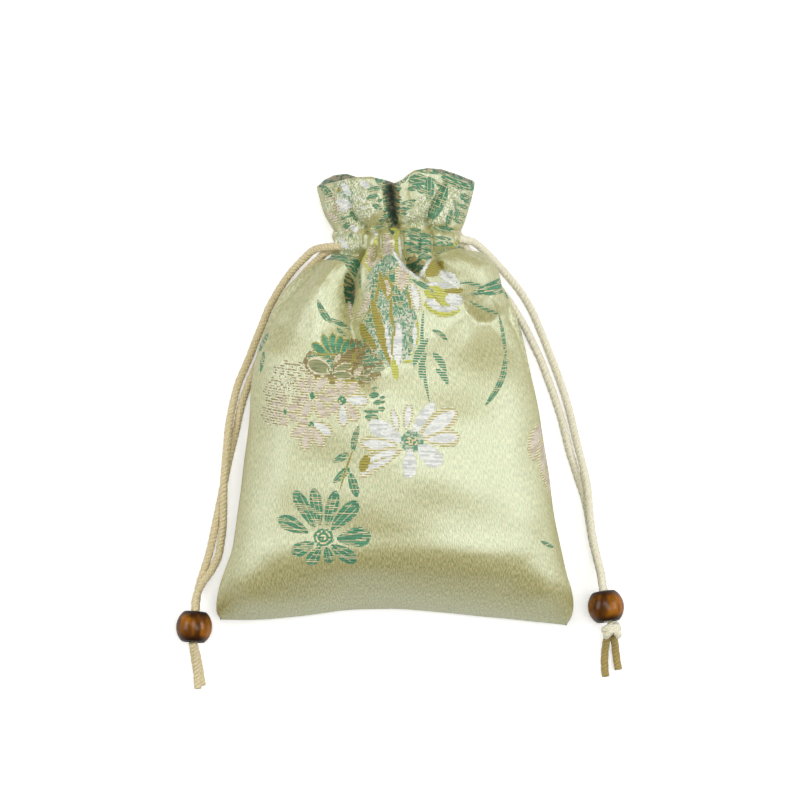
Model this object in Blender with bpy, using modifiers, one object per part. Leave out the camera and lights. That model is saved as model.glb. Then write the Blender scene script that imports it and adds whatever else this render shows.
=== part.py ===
"""Drawstring pouch of brocade cloth, drawn shut at its neck and lying on its back.

The mouth points along +Y, the front of the pouch faces +Z, and the back lies flat on Z = 0.
Two drawstrings run round the neck inside a casing. One comes out at the left side and one at
the right, and both strands of each pass through a wooden bead to a knot.
Named sizes are in millimetres. MM turns them into metres where a mesh or curve is made.
"""

import math

import bmesh
import bpy
import numpy as np
from mathutils import Matrix, Vector

MM = 0.001

# Cord
CORD_DIAMETER = 2.3
CORD_SIDES_RESOLUTION = 2
CORD_POINT_SPACING = 5.0
CLEARANCE = 0.3
FLOOR_GAP = 0.1
CORD_REST_Z = 0.5 * CORD_DIAMETER + FLOOR_GAP
CORD_PITCH = CORD_DIAMETER + CLEARANCE

# Cloth
CLOTH_THICKNESS = 1.0
LAYER_COLUMNS = 56

# Neck and casing
NECK_WIDTH = 39.0
NECK_HEIGHT = 18.0
NECK_CENTRE_Z = 10.8
NECK_FULLNESS = 2.2
CASING_BOTTOM_Y = 43.2
CASING_TOP_Y = 51.2
CASING_COVER = 0.8
CASING_PUFF = 0.8
CASING_MID_Y = 0.5 * (CASING_BOTTOM_Y + CASING_TOP_Y)
CASING_WALL = CORD_DIAMETER + 2.0 * CLEARANCE + 2.0 * CASING_COVER
UPPER_CORD_Y = CASING_MID_Y + 0.5 * CORD_PITCH
LOWER_CORD_Y = CASING_MID_Y - 0.5 * CORD_PITCH
EXIT_REACH = 0.5
FRONT_EXIT_RISE = 1.9
BACK_EXIT_DROP = 1.6

# Body
BASE_WIDTH = 110.4
BELLY_WIDTH = 93.0
BELLY_HEIGHT = 28.5
SIDE_EDGE_Z = 9.5
SEAM_Y = -65.8
SEAM_Z = 4.0
SEAM_CORNER_LEFT = 3.0
SEAM_CORNER_RIGHT = 4.8
SEAM_CORNER_POWER = 1.4
SEAM_CORNER_REACH = 26.0
REST_OVERSHOOT = 2.5

# Header above the casing
MOUTH_Y = 66.0
MOUTH_WIDTH = 48.0
MOUTH_TOP_Z = 22.0
LEFT_LOBE_RISE = 1.6
RIGHT_LOBE_RISE = 4.6
BACK_LAYER_DROP = 1.2

# Gathers
GATHERS_PER_LAYER = 9
BAND_GATHER = 1.5
SHOULDER_GATHER = 1.3
HEADER_GATHER = 0.6

# Beads
BEAD_DIAMETER = 11.2
BEAD_LENGTH = 9.4
BEAD_BORE = 2.0 * CORD_DIAMETER + 3.0 * CLEARANCE
BEAD_END_FLAT = 0.7
BEAD_SEGMENTS = 32
BEAD_TILT = math.radians(10.0)
BEAD_SLIDE = 6.0
BEAD_CENTRE_Z = 0.5 * BEAD_DIAMETER + FLOOR_GAP
LEFT_BEAD_XY = (-62.3, -71.3)
LEFT_BEAD_LEAN = math.radians(-4.0)
RIGHT_BEAD_XY = (65.4, -65.0)
RIGHT_BEAD_LEAN = math.radians(8.0)

# Knots
LEFT_KNOT_LENGTH = 3.6
RIGHT_KNOT_SIZE = (6.6, 4.9, 5.0)

# Colours (linear) and finish
CLOTH_COLOUR = (0.50, 0.55, 0.36, 1.0)
LEFT_CORD_COLOUR = (0.62, 0.52, 0.30, 1.0)
RIGHT_CORD_COLOUR = (0.78, 0.74, 0.54, 1.0)
WOOD_COLOUR = (0.21, 0.075, 0.015, 1.0)

# The body's sections: y, half width at the left and right, front, back and side edge heights,
# and how far the section is a full oval tube (1) and not a lens (0).
STATIONS = np.array((
    (SEAM_Y, 54.2, 53.4, SEAM_Z + 1.0, SEAM_Z - 1.0, SEAM_Z, 0.0),
    (SEAM_Y + 1.5, 55.0, 54.4, 9.0, 1.8, 4.6, 0.0),
    (SEAM_Y + 4.0, 0.5 * BASE_WIDTH, 0.5 * BASE_WIDTH, 13.5, 0.4, 5.4, 0.0),
    (-57.0, 54.0, 54.9, 18.8, 0.0, 6.6, 0.0),
    (-50.0, 51.3, 52.8, 23.6, 0.0, 8.0, 0.0),
    (-40.0, 49.2, 50.0, 26.8, 0.0, 9.0, 0.0),
    (-22.0, 0.5 * BELLY_WIDTH + 0.6, 0.5 * BELLY_WIDTH + 0.9, BELLY_HEIGHT, 0.0, SIDE_EDGE_Z, 0.0),
    (-6.0, 45.0, 44.8, BELLY_HEIGHT - 0.3, 0.0, SIDE_EDGE_Z, 0.0),
    (8.0, 43.3, 41.7, 27.0, 0.0, SIDE_EDGE_Z, 0.0),
    (20.0, 39.4, 38.6, 25.4, 0.0, SIDE_EDGE_Z + 0.3, 0.05),
    (29.0, 35.0, 34.8, 24.0, 0.2, SIDE_EDGE_Z + 0.7, 0.2),
    (36.0, 29.4, 30.2, 22.4, 0.8, NECK_CENTRE_Z, 0.55),
    (CASING_BOTTOM_Y - 2.2, 23.6, 24.6, NECK_CENTRE_Z + 0.5 * NECK_HEIGHT + 0.8, 1.4, NECK_CENTRE_Z, 0.9),
    (CASING_BOTTOM_Y, 0.5 * NECK_WIDTH + 0.6, 0.5 * NECK_WIDTH + 0.6,
     NECK_CENTRE_Z + 0.5 * NECK_HEIGHT, NECK_CENTRE_Z - 0.5 * NECK_HEIGHT, NECK_CENTRE_Z, 1.0),
    (CASING_TOP_Y, 0.5 * NECK_WIDTH, 0.5 * NECK_WIDTH,
     NECK_CENTRE_Z + 0.5 * NECK_HEIGHT, NECK_CENTRE_Z - 0.5 * NECK_HEIGHT, NECK_CENTRE_Z, 1.0),
    (56.5, 21.8, 21.2, 20.8, 1.5, NECK_CENTRE_Z, 0.9),
    (MOUTH_Y, 0.5 * MOUTH_WIDTH, 0.5 * MOUTH_WIDTH, MOUTH_TOP_Z, 1.0, NECK_CENTRE_Z, 0.75),
))

# The folds that show. Each is a line of (y, place across the layer from left to right, depth,
# half width as a share of the layer). A negative depth is a ridge.
FRONT_FOLDS = (
    ((68.0, 0.475, 11.5, 0.060), (60.0, 0.480, 10.5, 0.055), (54.5, 0.480, 7.0, 0.045),
     (51.6, 0.480, 1.6, 0.035), (50.0, 0.480, 0.0, 0.030)),
    ((51.0, 0.475, 0.0, 0.030), (48.0, 0.475, -1.0, 0.035), (42.5, 0.475, -1.6, 0.040),
     (35.0, 0.470, 0.0, 0.050)),
    ((61.0, 0.270, 0.0, 0.050), (56.0, 0.280, 2.2, 0.040), (51.8, 0.310, 1.8, 0.030),
     (50.0, 0.320, 0.4, 0.022), (44.5, 0.325, 0.5, 0.022), (42.0, 0.330, 3.2, 0.030),
     (36.0, 0.345, 4.8, 0.046), (29.0, 0.365, 3.4, 0.058), (14.0, 0.380, 0.0, 0.080)),
    ((50.0, 0.550, 0.0, 0.022), (44.5, 0.560, 0.5, 0.022), (42.0, 0.570, 3.0, 0.028),
     (38.0, 0.595, 3.6, 0.038), (34.0, 0.610, 1.8, 0.048), (25.0, 0.620, 0.0, 0.060)),
    ((69.0, 0.745, 2.4, 0.050), (58.0, 0.720, 4.0, 0.050), (52.2, 0.695, 2.4, 0.034),
     (50.0, 0.705, 0.4, 0.022), (44.5, 0.725, 0.5, 0.022), (42.0, 0.740, 3.2, 0.030),
     (37.5, 0.785, 4.2, 0.045), (33.0, 0.840, 3.8, 0.056), (28.0, 0.905, 2.8, 0.056),
     (21.0, 0.960, 0.0, 0.050)),
)
BACK_FOLDS = (
    ((67.0, 0.300, 2.4, 0.060), (56.0, 0.320, 2.4, 0.045), (51.8, 0.330, 0.0, 0.030)),
    ((67.0, 0.640, 2.6, 0.060), (56.0, 0.630, 2.6, 0.045), (51.8, 0.620, 0.0, 0.030)),
    ((43.0, 0.360, 0.0, 0.030), (39.0, 0.370, 2.2, 0.040), (30.0, 0.390, 1.6, 0.060),
     (18.0, 0.400, 0.0, 0.070)),
    ((43.0, 0.620, 0.0, 0.030), (39.0, 0.620, 2.2, 0.040), (30.0, 0.610, 1.6, 0.060),
     (18.0, 0.600, 0.0, 0.070)),
)

# Rows of the cloth from the bottom seam up the outside, and from the mouth down the inside.
OUTER_ROWS = (SEAM_Y, SEAM_Y + 1.2, SEAM_Y + 3.2, -58.8, -53.5, -46.0, -34.0, -20.0, -6.0, 6.0, 15.0,
              22.0, 27.5, 32.0, 35.5, 38.5, 41.0, CASING_BOTTOM_Y, 45.2, CASING_MID_Y, 49.2,
              CASING_TOP_Y, 52.6, 54.6, 57.5, 61.5, MOUTH_Y)
INNER_ROWS = (MOUTH_Y, 61.5, 57.5, 54.6, 52.6, CASING_TOP_Y, CASING_MID_Y, CASING_BOTTOM_Y, 41.0, 38.5,
              35.5, 32.0, 27.5, 18.0, 2.0, -20.0, -42.0, -54.0, -60.0, SEAM_Y + 3.2)

# The free strands, each from the side of the neck to the bead: x, y and height in cord
# thicknesses above the floor, so 0 lies on it and 1 lies on another strand.
LEFT_OUTER_STRAND = (
    (-24.8, 45.6, 2.5), (-28.4, 42.9, 1.1), (-31.8, 39.6, 0.3), (-34.6, 36.0, 0.0), (-38.6, 29.2, 0.0),
    (-41.6, 22.2, 0.0), (-45.6, 12.0, 0.0), (-48.6, 5.0, 0.0), (-50.6, -2.4, 0.15), (-51.8, -9.6, 0.6),
    (-52.4, -17.0, 0.98), (-53.0, -24.0, 1.04), (-53.3, -31.0, 1.02), (-53.5, -38.0, 0.65),
    (-54.2, -45.0, 0.15), (-55.6, -51.0, 0.2), (-58.2, -55.8, 0.95),
)
LEFT_INNER_STRAND = (
    (-23.6, 42.8, 1.6), (-26.6, 40.2, 0.6), (-29.6, 37.0, 0.1), (-32.4, 33.4, 0.0), (-36.4, 26.6, 0.0),
    (-39.4, 19.6, 0.0), (-43.1, 10.0, 0.0), (-46.0, 3.4, 0.0), (-48.0, -3.2, 0.0), (-49.6, -10.4, 0.0),
    (-51.4, -17.6, 0.0), (-52.9, -24.4, 0.0), (-54.2, -31.0, 0.0), (-55.7, -38.0, 0.0),
    (-57.1, -45.0, 0.0), (-58.6, -51.0, 0.0), (-60.2, -55.8, 0.1),
)
RIGHT_OUTER_STRAND = (
    (24.4, 47.7, 2.7), (28.4, 44.8, 1.3), (32.0, 41.2, 0.4), (35.4, 37.6, 0.0), (39.2, 32.8, 0.0),
    (42.3, 27.6, 0.0), (46.6, 17.7, 0.0), (51.2, 5.9, 0.0), (54.1, -3.0, 0.0), (56.2, -12.0, 0.1),
    (58.1, -20.0, 0.45), (59.7, -27.2, 0.85), (60.4, -34.0, 1.04), (61.1, -41.0, 1.04),
    (62.3, -47.6, 1.12),
)
RIGHT_INNER_STRAND = (
    (22.8, 44.8, 1.7), (25.4, 41.6, 0.7), (28.6, 38.0, 0.1), (32.2, 34.2, 0.0), (36.8, 28.2, 0.0),
    (40.3, 22.2, 0.0), (45.0, 12.5, 0.0), (49.2, 1.6, 0.0), (52.2, -7.8, 0.0), (54.4, -16.8, 0.0),
    (56.9, -24.6, 0.0), (59.4, -32.4, 0.0), (60.8, -40.2, 0.0), (62.2, -47.4, 0.1),
)
LEFT_TAILS = (
    ((-62.7, -77.4, 2.1), (-62.1, -81.2, 1.45), (-61.6, -85.6, 1.0), (-61.3, -90.7, 0.9)),
    ((-62.5, -77.4, 1.6), (-61.5, -81.2, 0.6), (-60.9, -85.6, 0.05), (-60.2, -90.2, 0.0)),
)
RIGHT_TAILS = (
    ((65.9, -75.9, 0.6), (65.5, -79.4, 0.1), (65.4, -83.4, 0.0), (65.7, -87.2, 0.0)),
    ((68.4, -75.9, 0.6), (68.8, -79.0, 0.1), (69.2, -82.0, 0.0), (69.7, -85.0, 0.0)),
)
TAIL_POINT_SPACING = 3.0
RING_ANGLES = tuple(math.radians(a) for a in range(-126, 127, 14))


def smooth_between(knots, values, at):
    """Cubic interpolation through unevenly spaced knots, with no overshoot past the ends."""
    knots = np.asarray(knots, float)
    values = np.asarray(values, float)
    at = np.clip(at, knots[0], knots[-1])
    slopes = np.gradient(values, knots)
    i = np.clip(np.searchsorted(knots, at) - 1, 0, len(knots) - 2)
    width = knots[i + 1] - knots[i]
    t = (at - knots[i]) / width
    return (values[i] * (1 + 2 * t) * (1 - t) ** 2 + values[i + 1] * t * t * (3 - 2 * t)
            + slopes[i] * width * t * (1 - t) ** 2 - slopes[i + 1] * width * t * t * (1 - t))


def smooth_step(low, high, at):
    t = np.clip((at - low) / (high - low), 0.0, 1.0)
    return t * t * (3 - 2 * t)


def section(y, inset=0.0):
    """One closed section across the pouch: x and z of the front from left to right, then the back
    from right to left, with its points evenly spaced along each layer."""
    left, right, front, back, edge, tube = (smooth_between(STATIONS[:, 0], STATIONS[:, k], y)
                                            for k in range(1, 7))
    left, right = left - 3.0 * inset, right - 3.0 * inset
    front, back = front - inset, back + inset
    layers = []
    for sign in (1.0, -1.0):
        angle = np.linspace(math.pi, 0.0, 361)
        cos, sin = np.cos(angle), np.sin(angle)
        half = np.where(cos < 0.0, left, right)
        height = (front - edge) if sign > 0 else (edge - back)
        oval = (half - height) * np.tanh(NECK_FULLNESS * cos) / math.tanh(NECK_FULLNESS) + height * cos
        x = half * cos * (1.0 - tube) + oval * tube
        if sign > 0:
            z = edge + height * sin ** (0.85 + 0.15 * tube)
        else:
            drop = height + REST_OVERSHOOT * (1.0 - tube) * smooth_step(SEAM_Y, SEAM_Y + 10.0, y)
            z = np.maximum(edge - drop * sin ** (0.8 + 0.2 * tube), back)
        steps = np.hypot(np.diff(x), np.diff(z))
        run = np.concatenate(([0.0], np.cumsum(steps)))
        even = np.linspace(0.0, run[-1], LAYER_COLUMNS + 1)
        layers.append(np.column_stack((np.interp(even, run, x), np.interp(even, run, z))))
    return np.vstack((layers[0][:-1], layers[1][::-1][:-1]))


def outward(ring):
    """Unit vectors that point out of a closed section."""
    along = np.roll(ring, -1, axis=0) - np.roll(ring, 1, axis=0)
    normal = np.column_stack((-along[:, 1], along[:, 0]))
    return normal / np.linalg.norm(normal, axis=1)[:, None]


def places():
    """Each column's place across its layer, from 0 at the left seam to 1 at the right, and its side."""
    share = np.arange(LAYER_COLUMNS) / LAYER_COLUMNS
    return (np.concatenate((share, 1.0 - share)),
            np.concatenate((np.ones(LAYER_COLUMNS), -np.ones(LAYER_COLUMNS))))


def fold_depth(folds, y, place):
    depth = np.zeros_like(place)
    for fold in folds:
        line = np.array(sorted(fold))
        if line[0, 0] <= y <= line[-1, 0]:
            at, deep, wide = (np.interp(y, line[:, 0], line[:, k]) for k in (1, 2, 3))
            depth += deep * np.exp(-((place - at) / wide) ** 2)
    return depth


def gather(y, place, side):
    """Height of the small gathers: full in the casing, fading down the shoulder and up the header."""
    phase = 0.35 * np.sin(9.0 * place + side) + 0.2 * np.sin(23.0 * place)
    wave = 0.5 + 0.5 * np.cos(2.0 * math.pi * (GATHERS_PER_LAYER * place + phase))
    band = smooth_step(CASING_BOTTOM_Y - 1.5, CASING_BOTTOM_Y + 1.0, y) * (
        1.0 - smooth_step(CASING_TOP_Y - 1.0, CASING_TOP_Y + 1.5, y))
    below = smooth_step(12.0, CASING_BOTTOM_Y - 4.0, y) * (1.0 - smooth_step(
        CASING_BOTTOM_Y - 1.5, CASING_BOTTOM_Y + 1.0, y))
    above = smooth_step(CASING_TOP_Y - 1.0, CASING_TOP_Y + 1.5, y)
    puff = CASING_PUFF * band * math.sin(math.pi * min(max(
        (y - CASING_BOTTOM_Y) / (CASING_TOP_Y - CASING_BOTTOM_Y), 0.0), 1.0))
    share = np.where(side > 0, 1.0, 0.7)
    return share * (puff + wave * (BAND_GATHER * band + SHOULDER_GATHER * below + HEADER_GATHER * above))


def row_heights(y, place, side):
    """The y of each point in a row: the bottom seam droops to its corners, the header has two lobes."""
    across = 2.0 * place - 1.0
    corner = np.where(across < 0.0, SEAM_CORNER_LEFT, SEAM_CORNER_RIGHT)
    droop = corner * np.abs(across) ** SEAM_CORNER_POWER
    droop = droop * (1.0 - smooth_step(SEAM_Y, SEAM_Y + SEAM_CORNER_REACH, y))
    lobes = (LEFT_LOBE_RISE * np.exp(-((place - 0.33) / 0.12) ** 2)
             + RIGHT_LOBE_RISE * np.exp(-((place - 0.66) / 0.17) ** 2))
    rise = np.where(side > 0, lobes, 0.55 * lobes - BACK_LAYER_DROP * np.sin(math.pi * place))
    above = max(y - CASING_TOP_Y, 0.0) / (MOUTH_Y - CASING_TOP_Y)
    return y - droop + rise * above


def cloth_row(y, inner):
    """One row of points round the pouch, on the outside or the inside of its wall."""
    place, side = places()
    ring = section(y)
    normal = outward(ring)
    depth = np.where(side > 0, fold_depth(FRONT_FOLDS, y, place), fold_depth(BACK_FOLDS, y, place))
    small = gather(y, place, side)
    if not inner:
        ring = ring + normal * (small - depth)[:, None]
    else:
        band = smooth_step(CASING_BOTTOM_Y - 4.5, CASING_BOTTOM_Y - 0.5, y) * (
            1.0 - smooth_step(CASING_TOP_Y + 0.5, CASING_TOP_Y + 3.5, y))
        wall = CLOTH_THICKNESS + (CASING_WALL - CLOTH_THICKNESS) * band
        neck = smooth_step(33.0, 42.0, y)
        above = smooth_step(CASING_TOP_Y, CASING_TOP_Y + 3.0, y)
        offset = ring - normal * (wall + depth * (1.0 - band) - small * above)[:, None]
        shrunk = section(y, CLOTH_THICKNESS) - normal * depth[:, None]
        ring = shrunk * (1.0 - neck) + offset * neck
    ring[:, 1] = np.maximum(ring[:, 1], CLOTH_THICKNESS if inner else 0.0)
    return np.column_stack((ring[:, 0], row_heights(y, place, side), ring[:, 1]))


def loft(name, rows):
    """A closed skin through rows of points, with each end row zipped shut, front to back."""
    mesh = bmesh.new()
    rings = [[mesh.verts.new(Vector(point) * MM) for point in row] for row in rows]
    count = len(rings[0])
    for low, high in zip(rings, rings[1:]):
        for k in range(count):
            mesh.faces.new((low[k], low[(k + 1) % count], high[(k + 1) % count], high[k]))
    for ring in (rings[0], rings[-1]):
        for k in range(count // 2):
            face = [ring[k], ring[k + 1], ring[(count - k - 1) % count], ring[(count - k) % count]]
            mesh.faces.new(list(dict.fromkeys(face)))
    bmesh.ops.recalc_face_normals(mesh, faces=mesh.faces)
    data = bpy.data.meshes.new(name)
    mesh.to_mesh(data)
    mesh.free()
    data.shade_smooth()
    return data


def new_material(name, colour, roughness, metallic=0.0):
    material = bpy.data.materials.new(name)
    material.use_nodes = True
    shader = material.node_tree.nodes["Principled BSDF"]
    shader.inputs["Base Color"].default_value = colour
    shader.inputs["Roughness"].default_value = roughness
    shader.inputs["Metallic"].default_value = metallic
    return material


def place_object(name, data, collection, material=None):
    item = bpy.data.objects.new(name, data)
    collection.objects.link(item)
    if material:
        data.materials.append(material)
    return item


def spline_through(route, spacing):
    """Evenly spaced points on a smooth curve through the route's own points."""
    route = np.array(route)
    run = np.concatenate(([0.0], np.cumsum(np.linalg.norm(np.diff(route, axis=0), axis=1))))
    fine = np.linspace(0.0, run[-1], 4000)
    curve = np.column_stack([smooth_between(run, route[:, k], fine) for k in range(3)])
    length = np.concatenate(([0.0], np.cumsum(np.linalg.norm(np.diff(curve, axis=0), axis=1))))
    even = np.linspace(0.0, length[-1], int(round(length[-1] / spacing)) + 1)
    return np.column_stack([np.interp(even, length, curve[:, k]) for k in range(3)])


def tube_mesh(name, points, diameter):
    """A round tube along the points, with its end caps welded on."""
    curve = bpy.data.curves.new(name, "CURVE")
    curve.dimensions = "3D"
    curve.bevel_depth = 0.5 * diameter * MM
    curve.bevel_resolution = CORD_SIDES_RESOLUTION
    curve.use_fill_caps = True
    line = curve.splines.new("POLY")
    line.points.add(len(points) - 1)
    for spot, point in zip(line.points, points):
        spot.co = (*(Vector(point) * MM), 1.0)
    return curve


def curve_to_mesh(name, curve):
    """The mesh of a bevelled curve, closed at its caps, so that a Boolean can use it."""
    holder = bpy.data.objects.new(name + "_curve", curve)
    bpy.context.scene.collection.objects.link(holder)
    bpy.context.view_layer.update()
    evaluated = holder.evaluated_get(bpy.context.evaluated_depsgraph_get())
    data = bpy.data.meshes.new_from_object(evaluated)
    data.name = name
    bpy.data.objects.remove(holder)
    mesh = bmesh.new()
    mesh.from_mesh(data)
    bmesh.ops.remove_doubles(mesh, verts=mesh.verts, dist=0.00001)
    mesh.to_mesh(data)
    mesh.free()
    return data


def cut(target, cutter):
    modifier = target.modifiers.new("cut_" + cutter.name, "BOOLEAN")
    modifier.operation = "DIFFERENCE"
    modifier.solver = "EXACT"
    modifier.object = cutter


def casing_path(angle, y):
    """A point on the middle line of the casing's tunnel, by angle from the right side."""
    ring = section(CASING_MID_Y)
    ring = ring - outward(ring) * (CASING_COVER + CLEARANCE + 0.5 * CORD_DIAMETER)
    turn = np.unwrap(np.arctan2(ring[:, 1] - NECK_CENTRE_Z, ring[:, 0]))
    order = np.argsort(turn)
    around = turn[order]
    wanted = (angle - around[0]) % (2.0 * math.pi) + around[0]
    x = np.interp(wanted, around, ring[order, 0], period=2.0 * math.pi)
    z = np.interp(wanted, around, ring[order, 1], period=2.0 * math.pi)
    return (float(x), y, float(z))


def on_floor(points):
    """Strand points, with their height turned from cord thicknesses into millimetres."""
    return [(x, y, CORD_REST_Z + CORD_PITCH * level) for x, y, level in points]


def bead_frame(centre_xy, lean):
    """The bead's centre and the unit vector along its bore, from its tail end towards the neck."""
    centre = Vector((*centre_xy, BEAD_CENTRE_Z))
    along = Vector((-math.sin(lean) * math.cos(BEAD_TILT), math.cos(lean) * math.cos(BEAD_TILT),
                    -math.sin(BEAD_TILT)))
    return centre, along


def through_bead(centre, along, level, tail_reach):
    """Points of one strand from the straight stretch before the bead to its end inside the knot."""
    across = Vector((0.0, 0.0, 1.0)) - along * along.z
    start = 0.5 * BEAD_LENGTH + BEAD_SLIDE
    line = centre + across.normalized() * (level * 0.5 * CORD_PITCH)
    return [tuple(line + along * (start * (1.0 - k / 4.0) + tail_reach * k / 4.0)) for k in range(5)]


def drawstring_route(side, y, strands, centre, along, tail_reach):
    """From the knot through the bead, up one strand, round the neck, and down the other strand."""
    outer, inner = (on_floor(strand) for strand in strands)
    half_turn = math.pi if side > 0 else 0.0
    ring = [casing_path(half_turn + angle, y) for angle in RING_ANGLES]
    if side < 0:
        ring.reverse()
    exit_x = side * (0.5 * NECK_WIDTH + EXIT_REACH)
    front_exit = (exit_x, y + 0.1, NECK_CENTRE_Z + FRONT_EXIT_RISE)
    back_exit = (exit_x, y - 0.4, NECK_CENTRE_Z - BACK_EXIT_DROP)
    upper = through_bead(centre, along, 1.0, tail_reach)
    lower = through_bead(centre, along, -1.0, tail_reach)
    return upper[::-1] + outer[::-1] + [front_exit] + ring + [back_exit] + inner + lower


def bead_mesh(name):
    """A turned bead: its outline spun round the bore, top to bottom down the outer side."""
    radius, half, bore = 0.5 * BEAD_DIAMETER, 0.5 * BEAD_LENGTH, 0.5 * BEAD_BORE
    shoulder = math.acos((bore + BEAD_END_FLAT) / radius)
    outline = [(bore, half)]
    for k in range(13):
        angle = shoulder * (1.0 - k / 6.0)
        outline.append((radius * math.cos(angle), half * math.sin(angle) / math.sin(shoulder)))
    outline.append((bore, -half))
    mesh = bmesh.new()
    verts = [mesh.verts.new((x * MM, 0.0, z * MM)) for x, z in outline]
    for a, b in zip(verts, verts[1:] + verts[:1]):
        mesh.edges.new((a, b))
    data = bpy.data.meshes.new(name)
    mesh.to_mesh(data)
    mesh.free()
    return data


def add_bead(name, collection, material, centre, along):
    bead = place_object(name, bead_mesh(name), collection, material)
    turn = bead.modifiers.new("turn", "SCREW")
    turn.axis = "Z"
    turn.angle = 2.0 * math.pi
    turn.steps = BEAD_SEGMENTS
    turn.render_steps = BEAD_SEGMENTS
    turn.use_merge_vertices = True
    turn.merge_threshold = 0.00001
    turn.use_smooth_shade = True
    bead.rotation_euler = along.to_track_quat("Z", "X").to_euler()
    bead.location = centre * MM
    return bead


def knot_lump(name, size, centre, along):
    """The body of a knot: a round lump, longer or wider as its size says."""
    mesh = bmesh.new()
    bmesh.ops.create_uvsphere(mesh, u_segments=16, v_segments=10, radius=0.5 * MM)
    bmesh.ops.scale(mesh, vec=Vector(size), verts=mesh.verts)
    turn = along.to_track_quat("Y", "Z").to_matrix().to_4x4()
    bmesh.ops.transform(mesh, matrix=Matrix.Translation(centre * MM) @ turn, verts=mesh.verts)
    data = bpy.data.meshes.new(name)
    mesh.to_mesh(data)
    mesh.free()
    data.shade_smooth()
    return data


def add_knot(name, parts, cutters, material, lump, start, tails):
    """A knot with the cord's two cut tails joined to it."""
    knot = place_object(name, lump, parts, material)
    for number, tail in enumerate(tails, 1):
        points = spline_through([tuple(start)] + on_floor(tail), TAIL_POINT_SPACING)
        tail_name = "{}_tail_{}".format(name, number)
        data = curve_to_mesh(tail_name, tube_mesh(tail_name, points, CORD_DIAMETER))
        piece = place_object(tail_name, data, cutters)
        hide_tool(piece)
        modifier = knot.modifiers.new("join_" + tail_name, "BOOLEAN")
        modifier.operation = "UNION"
        modifier.solver = "EXACT"
        modifier.object = piece
    return knot


def hide_tool(item):
    item.hide_render = True
    item.display_type = "WIRE"


def clear_scene():
    for item in list(bpy.data.objects):
        bpy.data.objects.remove(item, do_unlink=True)


def new_collection(name):
    collection = bpy.data.collections.new(name)
    bpy.context.scene.collection.children.link(collection)
    return collection


def build():
    clear_scene()
    parts = new_collection("drawstring_pouch")
    cutters = new_collection("cutters")
    cloth = new_material("brocade_cloth", CLOTH_COLOUR, 0.6)
    wood = new_material("stained_wood", WOOD_COLOUR, 0.25)
    left_satin = new_material("satin_cord_left", LEFT_CORD_COLOUR, 0.45)
    right_satin = new_material("satin_cord_right", RIGHT_CORD_COLOUR, 0.45)

    rows = [cloth_row(y, False) for y in OUTER_ROWS] + [cloth_row(y, True) for y in INNER_ROWS]
    shell = place_object("pouch_shell", loft("pouch_shell", rows), parts, cloth)

    sides = (
        ("left", -1.0, LOWER_CORD_Y, (LEFT_OUTER_STRAND, LEFT_INNER_STRAND), LEFT_BEAD_XY,
         LEFT_BEAD_LEAN, left_satin),
        ("right", 1.0, UPPER_CORD_Y, (RIGHT_OUTER_STRAND, RIGHT_INNER_STRAND), RIGHT_BEAD_XY,
         RIGHT_BEAD_LEAN, right_satin),
    )
    for name, side, y, strands, bead_xy, lean, satin in sides:
        centre, along = bead_frame(bead_xy, lean)
        add_bead("bead_" + name, parts, wood, centre, along)
        if side < 0:
            size = (BEAD_BORE - 2.0 * CLEARANCE, LEFT_KNOT_LENGTH, BEAD_BORE - 2.0 * CLEARANCE)
            middle = centre - along * (0.5 * BEAD_LENGTH - 0.5 * LEFT_KNOT_LENGTH)
            tails = LEFT_TAILS
        else:
            size = RIGHT_KNOT_SIZE
            middle = centre - along * (0.5 * BEAD_LENGTH + CLEARANCE + 0.5 * size[1]) + Vector((0.6, 0, -0.6))
            tails = RIGHT_TAILS
        tail_reach = (middle - centre).dot(along) + 0.5 * size[1] + CLEARANCE
        route = drawstring_route(side, y, strands, centre, along, tail_reach)
        points = spline_through(route, CORD_POINT_SPACING)
        place_object("drawstring_" + name, tube_mesh("drawstring_" + name, points, CORD_DIAMETER),
                     parts, satin)
        bore = curve_to_mesh("casing_bore_" + name, tube_mesh(
            "casing_bore_" + name, points, CORD_DIAMETER + 2.0 * CLEARANCE))
        bore_tool = place_object("casing_bore_" + name, bore, cutters)
        hide_tool(bore_tool)
        cut(shell, bore_tool)
        lump = knot_lump("knot_" + name, size, middle, along)
        add_knot("knot_" + name, parts, cutters, satin, lump, middle, tails)


if __name__ == "__main__":
    build()
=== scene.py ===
import math

import bmesh
import bpy
import numpy as np
from bpy.props import FloatProperty, FloatVectorProperty, IntProperty, PointerProperty
from mathutils import Matrix, Vector


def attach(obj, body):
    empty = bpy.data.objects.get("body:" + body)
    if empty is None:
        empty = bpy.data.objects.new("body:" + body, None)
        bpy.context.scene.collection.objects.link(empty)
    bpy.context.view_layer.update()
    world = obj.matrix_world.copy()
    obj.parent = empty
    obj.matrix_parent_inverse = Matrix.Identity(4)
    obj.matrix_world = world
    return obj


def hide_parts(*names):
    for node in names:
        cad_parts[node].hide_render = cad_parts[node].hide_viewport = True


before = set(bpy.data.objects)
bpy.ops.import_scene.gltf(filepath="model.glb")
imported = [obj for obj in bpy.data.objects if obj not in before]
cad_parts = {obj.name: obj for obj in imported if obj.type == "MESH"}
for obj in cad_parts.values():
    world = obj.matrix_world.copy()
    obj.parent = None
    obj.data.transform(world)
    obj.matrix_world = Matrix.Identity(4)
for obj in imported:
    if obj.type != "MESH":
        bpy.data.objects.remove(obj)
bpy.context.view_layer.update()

bl_info = {
    "name": "Brocade Drawstring Pouch",
    "version": (1, 0, 0),
    "blender": (4, 5, 0),
    "location": "3D View > Sidebar > Pouch",
    "description": "Makes a gathered brocade pouch with satin drawstrings and wooden beads",
    "category": "Object",
}

MM = 0.001
FULL_TURN = 2.0 * math.pi

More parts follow.
